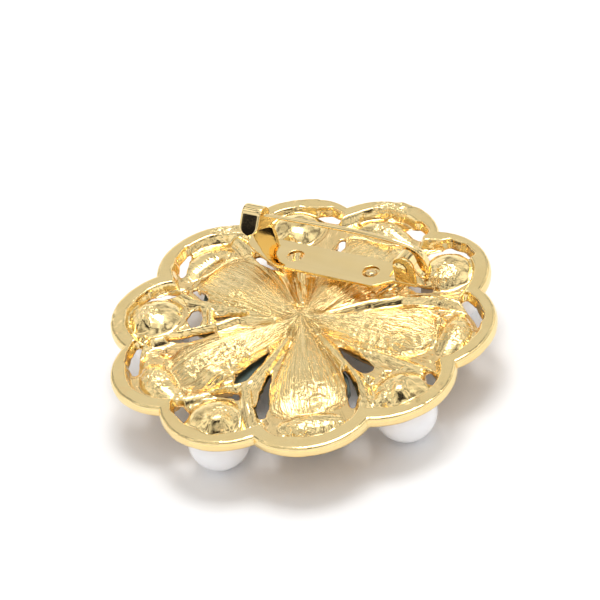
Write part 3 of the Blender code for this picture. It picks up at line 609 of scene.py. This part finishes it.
def solder_gold():
    finish, tree, shader = new_material("solder", Metallic=1.0)
    color = clouds(tree, 700.0, 3.0, (0.3, (0.72, 0.52, 0.24)), (0.7, (0.88, 0.68, 0.36)))
    tree.links.new(color, shader.inputs["Base Color"])
    gloss = clouds(tree, 1200.0, 3.0, (0.3, 0.16), (0.7, 0.36))
    tree.links.new(gloss, shader.inputs["Roughness"])
    tree.links.new(bump(tree, object_noise(tree, 1500.0), 0.6, 0.0002), shader.inputs["Normal"])
    return finish


def pearl_coating():
    """White body under a thin lustrous coat with a faint lilac cast."""
    finish, tree, shader = new_material(
        "pearl", Roughness=0.28, Coat_Weight=0.7, Coat_Roughness=0.06, Subsurface_Weight=0.25,
        Subsurface_Radius=(0.0012, 0.0011, 0.0012), Sheen_Weight=0.15,
    )
    body = clouds(tree, 240.0, 2.0, (0.3, (0.93, 0.92, 0.94)), (0.7, (0.98, 0.97, 0.975)))
    tree.links.new(body, shader.inputs["Base Color"])
    tree.links.new(bump(tree, object_noise(tree, 1300.0, 2.0), 0.05, 0.00005), shader.inputs["Normal"])
    return finish


def stone_glass(name, deep, light, roughness):
    """Foil-backed glass: a half-metallic cloudy body under a clear gloss."""
    finish, tree, shader = new_material(
        name, Metallic=0.35, Roughness=roughness, Coat_Weight=1.0, Coat_Roughness=0.02
    )
    body = clouds(tree, 420.0, 2.0, (0.35, deep), (0.8, light))
    tree.links.new(body, shader.inputs["Base Color"])
    tree.links.new(bump(tree, object_noise(tree, 900.0, 2.0), 0.04, 0.00005), shader.inputs["Normal"])
    return finish


def dark_foil_and_painted_shade():
    """Teal grey foil on the backs and sides of the petal stones, made near black so that it also stands in
    for the shade seen through the openings: partly the foil's colour, partly painted shade.
    """
    finish, tree, shader = new_material("dark_foil_and_painted_shade", Roughness=0.42)
    color = clouds(tree, 600.0, 3.0, (0.3, (0.055, 0.085, 0.075)), (0.7, (0.12, 0.17, 0.15)))
    tree.links.new(color, shader.inputs["Base Color"])
    tree.links.new(bump(tree, object_noise(tree, 1800.0), 0.3, 0.0001), shader.inputs["Normal"])
    return finish


# ---- piece helpers
def linked(name, data):
    """New object of the scene."""
    item = bpy.data.objects.new(name, data)
    bpy.context.scene.collection.objects.link(item)
    return item


def smooth_but_edges(mesh, degrees):
    mesh.shade_smooth()
    mesh.set_sharp_from_angle(angle=math.radians(degrees))


def place_piece(name, mesh, finish, slot, body, *nodes):
    """Link a mesh as a finished piece that stands for its CAD nodes."""
    piece = linked(name, mesh)
    mesh.materials.append(finish)
    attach(piece, body)
    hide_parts(*nodes)


def mesh_from_bmesh(name, bm):
    """Mesh in metres from a closed bmesh in millimetres."""
    bmesh.ops.recalc_face_normals(bm, faces=bm.faces)
    bmesh.ops.scale(bm, vec=(MM, MM, MM), verts=bm.verts)
    mesh = bpy.data.meshes.new(name)
    bm.to_mesh(mesh)
    bm.free()
    return mesh


def smooth_line(points, per_span):
    """Catmull-Rom curve through rows of numbers."""
    rows = np.array(points, float)
    padded = np.concatenate([2 * rows[:1] - rows[1:2], rows, 2 * rows[-1:] - rows[-2:-1]])
    result = []
    for index in range(len(rows) - 1):
        a, b, c, d = padded[index:index + 4]
        for step in range(per_span):
            t = step / per_span
            result.append(0.5 * (2 * b + (c - a) * t + (2 * a - 5 * b + 4 * c - d) * t**2
                                 + (3 * b - a - 3 * c + d) * t**3))
    result.append(rows[-1])
    return np.array(result)


def section(sides, roundness):
    """Unit cross-section between a circle (0) and a box with rounded corners (1)."""
    ring = []
    power = 1.0 - 0.78 * roundness
    for side in range(sides):
        turn = 2.0 * math.pi * (side + 0.5) / sides
        cos, sin = math.cos(turn), math.sin(turn)
        ring.append((math.copysign(abs(cos) ** power, cos), math.copysign(abs(sin) ** power, sin)))
    return ring


def loft(bm, centres, wide_axis, widths, thicknesses, boxness, sides=16):
    """Strip or wire along a path; boxness may change along it."""
    rings = []
    for index, centre in enumerate(centres):
        before = centres[max(index - 1, 0)]
        after = centres[min(index + 1, len(centres) - 1)]
        thick_axis = (Vector(after) - Vector(before)).normalized().cross(wide_axis)
        ring = []
        for across, through in section(sides, boxness[index]):
            offset = wide_axis * (0.5 * widths[index] * across)
            offset += thick_axis * (0.5 * thicknesses[index] * through)
            ring.append(bm.verts.new(Vector(centre) + offset))
        rings.append(ring)
    for ring, following in zip(rings, rings[1:]):
        for side in range(sides):
            other = (side + 1) % sides
            bm.faces.new((ring[side], ring[other], following[other], following[side]))
    bm.faces.new(tuple(reversed(rings[0])))
    bm.faces.new(tuple(rings[-1]))


def bevelled_sheet(outlines, bottom, top, bevel):
    """Mesh of a flat stamping with rounded edges, in millimetres, from closed outlines."""
    curve = bpy.data.curves.new("stamping", "CURVE")
    curve.dimensions = "2D"
    curve.fill_mode = "BOTH"
    curve.extrude = 0.5 * (top - bottom) - bevel
    curve.bevel_depth = bevel
    curve.bevel_resolution = 3
    curve.offset = -bevel
    for outline in outlines:
        spline = curve.splines.new("POLY")
        spline.points.add(len(outline) - 1)
        for point, (x, y) in zip(spline.points, outline):
            point.co = (x, y, 0.0, 1.0)
        spline.use_cyclic_u = True
    guide = linked("stamping", curve)
    bpy.context.view_layer.update()
    mesh = bpy.data.meshes.new_from_object(guide.evaluated_get(bpy.context.evaluated_depsgraph_get()))
    bpy.data.objects.remove(guide, do_unlink=True)
    bm = bmesh.new()
    bm.from_mesh(mesh)
    bpy.data.meshes.remove(mesh)
    bmesh.ops.remove_doubles(bm, verts=bm.verts, dist=0.001)
    bmesh.ops.translate(bm, verts=bm.verts, vec=(0.0, 0.0, 0.5 * (top + bottom)))
    return bm


def circle(x, y, radius, points=40, shift=0.0):
    turns = [2.0 * math.pi * (i + shift) / points for i in range(points)]
    return [(x + radius * math.cos(turn), y + radius * math.sin(turn)) for turn in turns]


def rounded(outline, radius, steps=5):
    """Round the corners of a closed outline."""
    result = []
    count = len(outline)
    for index, corner in enumerate(outline):
        corner = Vector(corner)
        before = Vector(outline[index - 1]) - corner
        after = Vector(outline[(index + 1) % count]) - corner
        reach = min(radius, 0.45 * before.length, 0.45 * after.length)
        start = corner + before.normalized() * reach
        end = corner + after.normalized() * reach
        for step in range(steps + 1):
            t = step / steps
            result.append(tuple(start * (1 - t) ** 2 + corner * 2 * t * (1 - t) + end * t**2))
    return result


# ---- bar pin and stem, in millimetres
PLATE_TOP = RIM_TOP + 1.2
SHEET = 0.45
EDGE = 0.07
RIVET_X, STEM_Y, RIVET_Z = [value / MM for value in frame["joints"][0]["pos_m"]]
RIBBON_WIDTH = 1.8
EAR_GAP = 0.25
HOLE_RADIUS = 1.15
HOLE_PLACES = ((-6.1, 9.75), (5.15, 9.75))
RIVET_RADIUS = 0.6
RIVET_HOLE_RADIUS = 0.75
PLATE_NEAR = 7.2
PLATE_FAR = 12.3
EAR_LEFT = 9.1
EAR_RIGHT = 12.2
NOTCH_LEFT = 7.9
PLATE_END = -14.0
CATCH_X = -12.0
CATCH_WIDTH = 2.8
CATCH_TOP = RIM_TOP + 6.92
CATCH_BEND = 1.15
CATCH_TONGUE = 2.8
CATCH_LEAN = 38.0  # degrees that the tongue slopes away from upright
NEAR_EAR = STEM_Y - 0.5 * RIBBON_WIDTH - EAR_GAP
FAR_EAR = STEM_Y + 0.5 * RIBBON_WIDTH + EAR_GAP


def plate_outline():
    near_edge = NEAR_EAR - SHEET - 0.05
    return [
        (-7.9, PLATE_NEAR), (6.8, PLATE_NEAR), (NOTCH_LEFT + 0.9, near_edge), (EAR_RIGHT, near_edge),
        (EAR_RIGHT, NEAR_EAR), (NOTCH_LEFT, NEAR_EAR), (NOTCH_LEFT, FAR_EAR), (EAR_RIGHT, FAR_EAR),
        (EAR_RIGHT, PLATE_FAR), (PLATE_END, PLATE_FAR), (PLATE_END, 11.2), (-13.7, 10.4), (-12.4, 9.4),
    ]


def ear_bmesh(low, high):
    bottom = PLATE_TOP - 0.6 * SHEET
    middle = 0.5 * (EAR_LEFT + EAR_RIGHT)
    radius = 0.5 * (EAR_RIGHT - EAR_LEFT) - 0.05
    top = RIM_TOP + 5.15 - radius
    points = [(EAR_RIGHT - 0.02, bottom)]
    for step in range(25):
        turn = math.pi * step / 24.0
        points.append((middle + radius * math.cos(turn), top + radius * math.sin(turn)))
    points.append((EAR_LEFT + 0.02, bottom))
    hole = circle(RIVET_X, RIVET_Z, RIVET_HOLE_RADIUS, 24)[::-1]
    bm = bevelled_sheet([points, hole], low, high, 0.05)
    stand = Matrix(((1, 0, 0, 0), (0, 0, 1, 0), (0, 1, 0, 0), (0, 0, 0, 1)))
    bmesh.ops.transform(bm, matrix=stand, verts=bm.verts)
    bmesh.ops.reverse_faces(bm, faces=bm.faces)
    return bm


def catch_bmesh():
    """Catch: a wall that narrows upwards, a fold over the top and a round-ended tongue."""
    wall_y = PLATE_FAR - 0.5 * SHEET
    fold_y, fold_z = wall_y - CATCH_BEND, CATCH_TOP - CATCH_BEND
    path = [(wall_y, PLATE_TOP - 0.5 * SHEET + 0.02, 3.9), (wall_y, PLATE_TOP + 0.8, 3.8),
            (wall_y, PLATE_TOP + 1.9, 3.45), (wall_y, PLATE_TOP + 2.6, 3.0),
            (wall_y, PLATE_TOP + 3.2, CATCH_WIDTH), (wall_y, fold_z - 0.4, CATCH_WIDTH)]
    for step in range(19):
        turn = math.radians((180.0 - CATCH_LEAN) * step / 18.0)
        path.append((fold_y + CATCH_BEND * math.cos(turn), fold_z + CATCH_BEND * math.sin(turn),
                     CATCH_WIDTH))
    y, z = path[-1][:2]
    down = math.radians(270.0 - CATCH_LEAN)
    for step in range(1, 25):
        share = step / 24.0
        tip = max(0.0, 2.0 * share - 1.0)
        reach = CATCH_TONGUE * share
        path.append((y + reach * math.cos(down), z + reach * math.sin(down),
                     CATCH_WIDTH * math.sqrt(max(0.02, 1.0 - tip**2.2))))
    bm = bmesh.new()
    centres = [(CATCH_X, y, z) for y, z, width in path]
    widths = [width for y, z, width in path]
    count = len(path)
    loft(bm, centres, Vector((1, 0, 0)), widths, [SHEET] * count, [0.9] * count, 24)
    return bm


def join_bmeshes(name, parts):
    whole = bmesh.new()
    for part in parts:
        bmesh.ops.recalc_face_normals(part, faces=part.faces)
        mesh = bpy.data.meshes.new("part")
        part.to_mesh(mesh)
        part.free()
        whole.from_mesh(mesh)
        bpy.data.meshes.remove(mesh)
    bmesh.ops.scale(whole, vec=(MM, MM, MM), verts=whole.verts)
    mesh = bpy.data.meshes.new(name)
    whole.to_mesh(mesh)
    whole.free()
    smooth_but_edges(mesh, 40.0)
    return mesh


def build_bar_plate(finish):
    holes = [circle(x, y, HOLE_RADIUS)[::-1] for x, y in HOLE_PLACES]
    plate = bevelled_sheet([rounded(plate_outline(), 0.5)] + holes, PLATE_TOP - SHEET, PLATE_TOP, EDGE)
    ears = [ear_bmesh(NEAR_EAR - SHEET, NEAR_EAR - 0.02), ear_bmesh(FAR_EAR + 0.02, FAR_EAR + SHEET)]
    mesh = join_bmeshes("pin_back_plate", [plate, *ears, catch_bmesh()])
    place_piece("pin_back_plate", mesh, finish, "polished_gold", "brooch", "bar_plate")


def turned_bmesh(profile, steps=48):
    """Turn (radius, height) points, given from the top down, about Z."""
    bm = bmesh.new()
    rings = []
    for radius, height in profile:
        places = circle(0.0, 0.0, radius, steps) if radius > 0.0 else [(0.0, 0.0)]
        rings.append([bm.verts.new((x, y, height)) for x, y in places])
    for upper, lower in zip(rings, rings[1:]):
        for i in range(steps):
            corners = [ring[k % steps % len(ring)]
                       for ring, k in ((upper, i), (lower, i), (lower, i + 1), (upper, i + 1))]
            unique = tuple(dict.fromkeys(corners))
            if len(unique) > 2:
                bm.faces.new(unique)
    return bm


def build_rivet(finish):
    half = 0.5 * RIBBON_WIDTH + EAR_GAP + SHEET + 0.08
    tip = half + 0.42
    head = [(0.0, tip), (0.35, tip - 0.03), (0.68, tip - 0.12), (0.9, tip - 0.24), (0.98, half + 0.08),
            (0.95, half), (RIVET_RADIUS, half)]
    profile = head + [(radius, -height) for radius, height in reversed(head)]
    bm = turned_bmesh(profile)
    bmesh.ops.rotate(bm, verts=bm.verts, cent=(0, 0, 0), matrix=Matrix.Rotation(math.pi / 2, 3, "X"))
    for vert in bm.verts:
        if abs(vert.co.y) > half + 0.15:
            dent = noise(vert.co.x * 2.2, vert.co.z * 2.2, 20)
            vert.co.y -= math.copysign(0.07 * float(dent + 0.4), vert.co.y)
    bmesh.ops.translate(bm, verts=bm.verts, vec=(RIVET_X, STEM_Y, RIVET_Z))
    mesh = mesh_from_bmesh("rivet", bm)
    smooth_but_edges(mesh, 50.0)
    place_piece("rivet", mesh, finish, "polished_gold", "brooch", "hinge_rivet")


# stem: x, height above the rim, width, thickness, 0 for round wire to 0.9 for flat ribbon
STEM = (
    (-13.8, 6.05, 0.08, 0.08, 0.0), (-12.8, 6.12, 0.30, 0.30, 0.0), (-11.0, 6.22, 0.46, 0.46, 0.0),
    (-5.0, 6.50, 0.58, 0.58, 0.0), (2.5, 6.68, 0.68, 0.66, 0.0), (8.0, 6.50, 0.68, 0.62, 0.0),
    (10.3, 6.25, 0.70, 0.60, 0.0), (11.6, 5.95, 0.72, 0.55, 0.1), (12.6, 5.40, 0.86, 0.48, 0.3),
    (13.2, 4.55, 0.9, 0.42, 0.5), (13.45, 3.50, 0.9, 0.40, 0.6), (13.45, 2.50, 0.9, 0.40, 0.6),
    (13.2, 1.78, 0.9, 0.40, 0.6), (12.75, 1.48, 0.9, 0.40, 0.6), (12.25, 1.62, 0.9, 0.40, 0.6),
    (11.85, 2.10, 0.95, 0.38, 0.7), (11.5, 2.80, 1.15, 0.36, 0.8),
)
CURL_RADIUS = 1.12


def build_stem(finish):
    rows = [list(row) for row in STEM]
    for step in range(11):
        turn = math.radians(5.0 + 28.0 * step)
        rows.append([RIVET_X + CURL_RADIUS * math.cos(turn), RIVET_Z - RIM_TOP + CURL_RADIUS * math.sin(turn),
                     1.5 if step == 0 else 1.8, 0.34, 0.9])
    line = smooth_line(rows, 6)
    bm = bmesh.new()
    centres = [(row[0], STEM_Y, RIM_TOP + row[1]) for row in line]
    loft(bm, centres, Vector((0, 1, 0)), line[:, 2], line[:, 3], np.clip(line[:, 4], 0.0, 0.9), 20)
    mesh = mesh_from_bmesh("stem_wire", bm)
    smooth_but_edges(mesh, 60.0)
    place_piece("stem_wire", mesh, finish, "polished_gold", "stem", "pin_stem")


def build_solder(name, node, finish, seed):
    """Lump of solder that fills its CAD piece's box."""
    low, high = box_mm(node)
    centre, half = 0.5 * (low + high), 0.5 * (high - low)
    bm = bmesh.new()
    bmesh.ops.create_uvsphere(bm, u_segments=40, v_segments=24, radius=1.0)
    for vert in bm.verts:
        x, y, z = vert.co
        swell = 0.95 + 0.05 * float(noise(2.0 * x + 5.0, 2.0 * y + 3.0 * z, seed))
        z = math.copysign(abs(z) ** 0.6, z)
        vert.co = Vector(centre) + Vector((x * half[0], y * half[1], z * half[2])) * swell
    mesh = mesh_from_bmesh(name, bm)
    mesh.shade_smooth()
    place_piece(name, mesh, finish, "solder", "brooch", node)


def build_pearls(finish):
    for index, (letter, centre) in enumerate(PEARLS.items()):
        bm = bmesh.new()
        bmesh.ops.create_uvsphere(bm, u_segments=72, v_segments=48, radius=1.0)
        for vert in bm.verts:
            x, y, z = vert.co
            wave = noise(1.6 * x + 9.0, 1.6 * y + 2.1 * z, 30 + index)
            radius = PEARL_RADIUS - 0.012 + 0.012 * float(wave)
            vert.co = Vector(centre) + vert.co * radius
        mesh = mesh_from_bmesh(f"bead_{letter}", bm)
        mesh.shade_smooth()
        place_piece(f"bead_{letter}", mesh, finish, "pearl", "brooch", f"pearl_{letter}")


def pear_ring(degrees, margin, points, shift):
    """Points round a petal stone's outline, moved outwards by the margin."""
    turn = 2.0 * math.pi * (np.arange(points) + shift) / points
    start, end = PEAR_START - margin, PEAR_END + margin
    along = 0.5 * (start + end) - 0.5 * (end - start) * np.cos(turn)
    across = np.copysign(pear_half_width(along, margin), np.sin(turn))
    return list(zip(*turned_to(along, across, -degrees)))


def build_petal_stones(finish, foil_and_painted_shade):
    """Pear stones: flat back, girdle, a row of triangular facets, then bevels up to the table."""
    points = 16
    for letter, degrees in PETAL_ANGLES.items():
        low, high = box_mm(f"petal_stone_{letter}")
        bm = bmesh.new()
        girdle = high[2] - 0.75
        levels = ((high[2], -0.06, 0.0), (high[2] - 0.1, 0.0, 0.0), (girdle, 0.0, 0.0),
                  (girdle - 0.85, -0.85, 0.5), (low[2], -1.9, 0.0))
        rings = [[bm.verts.new((x, y, z)) for x, y in pear_ring(degrees, margin, points, shift)]
                 for z, margin, shift in levels]
        for index in range(points):
            other = (index + 1) % points
            for upper, lower in (rings[0:2], rings[1:3]):
                bm.faces.new((upper[index], upper[other], lower[other], lower[index]))
            bm.faces.new((rings[2][index], rings[2][other], rings[3][index]))
            bm.faces.new((rings[2][other], rings[3][other], rings[3][index]))
            bm.faces.new((rings[3][index], rings[3][other], rings[4][other]))
            bm.faces.new((rings[3][index], rings[4][other], rings[4][index]))
        bm.faces.new(rings[0])
        bm.faces.new(tuple(reversed(rings[-1])))
        mesh = mesh_from_bmesh(f"petal_glass_{letter}", bm)
        place_piece(f"petal_glass_{letter}", mesh, finish, "green_glass", "brooch", f"petal_stone_{letter}")
        mesh.materials.append(foil_and_painted_shade)
        # backs and sides get the near-black teal foil, which is partly painted shade in the openings
        for polygon in mesh.polygons:
            polygon.material_index = 1 if polygon.normal.z > -0.1 else 0


def build_round_stone(name, node, finish):
    """Chaton: flat back, girdle, eight main facets with halves between them, and a table."""
    low, high = box_mm(node)
    centre, radius = 0.5 * (low + high), 0.5 * (high[0] - low[0])
    bm = bmesh.new()
    tall = high[2] - low[2]
    levels = ((high[2], 0.96, 16, 0.0), (high[2] - 0.08, 1.0, 16, 0.0), (high[2] - 0.32 * tall, 1.0, 16, 0.0),
              (low[2] + 0.3 * tall, 0.80, 8, 0.5), (low[2], 0.52, 8, 0.0))
    rings = [[bm.verts.new((x, y, height))
              for x, y in circle(centre[0], centre[1], radius * share, count, shift)]
             for height, share, count, shift in levels]
    for upper, lower in (rings[0:2], rings[1:3]):
        for i in range(16):
            j = (i + 1) % 16
            bm.faces.new((upper[i], upper[j], lower[j], lower[i]))
    for i in range(8):
        j = (i + 1) % 8
        bm.faces.new((rings[2][2 * i], rings[2][2 * i + 1], rings[3][i]))
        bm.faces.new((rings[2][2 * i + 1], rings[2][(2 * i + 2) % 16], rings[3][i]))
        bm.faces.new((rings[2][2 * j], rings[3][j], rings[4][j], rings[3][i]))
        bm.faces.new((rings[3][i], rings[4][j], rings[4][i]))
    bm.faces.new(rings[0])
    bm.faces.new(tuple(reversed(rings[4])))
    place_piece(name, mesh_from_bmesh(name, bm), finish, "clear_glass", "brooch", node)


def build_casting(finish):
    field, corner = casting_field()
    mesh = surface_mesh("brooch_casting", field, corner, STEP)
    points = np.zeros(len(mesh.vertices) * 3, np.float32)
    mesh.vertices.foreach_get("co", points)
    x, y, z = points.reshape(-1, 3).T / MM
    fan, radius = strokes(x, y)
    lines = np.stack([fan, 0.10 * radius, 0.15 * z], 1)
    attribute = mesh.attributes.new("strokes", "FLOAT_VECTOR", "POINT")
    attribute.data.foreach_set("vector", lines.astype(np.float32).ravel())
    # painted shade mask: the lower a point, the more warm dark gold it gets, standing in for shade in the
    # recesses
    depth = 0.75 * (1.0 - ramp(z, WEB_BOTTOM + 0.1, WEB_TOP + 0.35))
    for name, values in (("brushed", brushed_share(x, y)), ("rough", rough_share(x, y)), ("painted_recess_shade", depth)):
        attribute = mesh.attributes.new(name, "FLOAT", "POINT")
        attribute.data.foreach_set("value", values.astype(np.float32))
    place_piece("brooch_casting", mesh, finish, "cast_gold", "brooch", "casting")


# ---- stage, in metres
FLOOR_HALF = 1.2
LAMP_PLACE = (-0.02, 0.12, 0.44)
CAMERA_PLACE = (0.193348, -0.260878, 0.260645)
CAMERA_RIGHT = (0.86162321, 0.48008024, -0.16470701)
CAMERA_UP = (-0.18758933, 0.60275677, 0.77556078)
CAMERA_BACK = (0.47160967, -0.63734389, 0.60940716)
CAMERA_LENS = 192.9
NEARLY_BLACK = (0.015, 0.015, 0.02)

# patches of the light tent: direction, cosines where each begins and is whole, colour
PATCHES = (
    ((-0.47, -0.62, 0.63), 0.965, 0.985, (0.95, 0.95, 0.95)),
    ((0.47, -0.64, 0.61), 0.962, 0.983, NEARLY_BLACK),  # the camera's own opening
    ((-0.47, -0.80, 0.38), 0.979, 0.989, NEARLY_BLACK),  # seen in the catch's tongue
)


def build_stage():
    bm = bmesh.new()
    bmesh.ops.create_grid(bm, x_segments=2, y_segments=2, size=FLOOR_HALF)
    mesh = bpy.data.meshes.new("floor")
    bm.to_mesh(mesh)
    bm.free()
    floor = linked("floor", mesh)
    mesh.materials.append(new_material(
        "floor_paper", Base_Color=(0.96, 0.96, 0.96, 1.0), Roughness=0.9, Specular_IOR_Level=0.1)[0])


def direction_share(tree, source, direction, start, end):
    """0 away from a direction of the sky, 1 close to it; start and end are cosines."""
    facing = tree.nodes.new("ShaderNodeVectorMath")
    facing.operation = "DOT_PRODUCT"
    facing.inputs[1].default_value = Vector(direction).normalized()
    tree.links.new(source, facing.inputs[0])
    return color_ramp(tree, facing.outputs["Value"], ((start, 0.0), (end, 1.0)))


def build_light():
    """Light tent of bright and dim panels, with dark openings, and one soft lamp overhead."""
    world = bpy.data.worlds.new("tent")
    bpy.context.scene.world = world
    world.use_nodes = True
    tree = world.node_tree
    background = tree.nodes["Background"]
    place = tree.nodes.new("ShaderNodeTexCoord")
    split = tree.nodes.new("ShaderNodeSeparateXYZ")
    tree.links.new(place.outputs["Generated"], split.inputs[0])
    height = color_ramp(tree, split.outputs["Z"], (
        (0.0, 0.95), (0.25, 0.95), (0.55, 0.87), (0.78, 0.92), (1.0, 1.02)))
    room = add(tree, "ShaderNodeTexNoise", Scale=5.5, Detail=1.0, Roughness=0.5)
    tree.links.new(place.outputs["Generated"], room.inputs["Vector"])
    panels = color_ramp(tree, room.outputs["Fac"], ((0.37, 0.08), (0.44, 0.76), (0.54, 0.95), (0.60, 1.5)))
    low = color_ramp(tree, split.outputs["Z"], ((0.13, 1.0), (0.28, 0.0)))
    panels = mix_color(tree, low, panels, (1.4, 1.4, 1.4))  # plain wall at eye level
    calm = direction_share(tree, place.outputs["Generated"], (-0.47, 0.64, 0.61), 0.955, 0.985)
    light = mix_color(tree, 1.0, height, mix_color(tree, calm, panels, (0.88, 0.88, 0.88)), "MULTIPLY")
    for direction, start, end, color in PATCHES:
        share = direction_share(tree, place.outputs["Generated"], direction, start, end)
        light = mix_color(tree, share, light, color)
    tree.links.new(light, background.inputs["Color"])
    background.inputs["Strength"].default_value = 1.0
    panel = bpy.data.lights.new("overhead", "AREA")
    panel.shape = "RECTANGLE"
    panel.size = 0.22
    panel.size_y = 0.16
    panel.energy = 1.0
    lamp = linked("overhead", panel)
    lamp.location = LAMP_PLACE
    lamp.rotation_euler = (-Vector(LAMP_PLACE)).to_track_quat("-Z", "Y").to_euler()


def build_camera():
    data = bpy.data.cameras.new("camera")
    data.lens = CAMERA_LENS
    data.sensor_width = 36.0
    data.clip_start = 0.01
    data.clip_end = 10.0
    camera = linked("camera", data)
    turn = Matrix((CAMERA_RIGHT, CAMERA_UP, CAMERA_BACK)).transposed().to_4x4()
    camera.matrix_world = Matrix.Translation(CAMERA_PLACE) @ turn
    bpy.context.scene.camera = camera


def build():
    bpy.context.scene.view_settings.view_transform = "Standard"
    build_camera()
    gold = polished_gold()
    solder = solder_gold()
    clear = stone_glass("clear_glass", (0.30, 0.33, 0.36), (0.85, 0.88, 0.92), 0.04)
    green = stone_glass("green_glass", (0.004, 0.035, 0.032), (0.012, 0.11, 0.095), 0.06)
    build_casting(cast_gold())
    build_pearls(pearl_coating())
    build_petal_stones(green, dark_foil_and_painted_shade())
    build_round_stone("centre_glass", "centre_stone", clear)
    for node in RHINESTONES:
        build_round_stone(node.replace("rhinestone", "chaton"), node, clear)
    build_bar_plate(gold)
    build_rivet(gold)
    build_stem(gold)
    build_solder("solder_fill", "solder_plug", solder, 40)
    build_solder("solder_seat", "solder_pad", solder, 41)
    build_stage()
    build_light()


build()
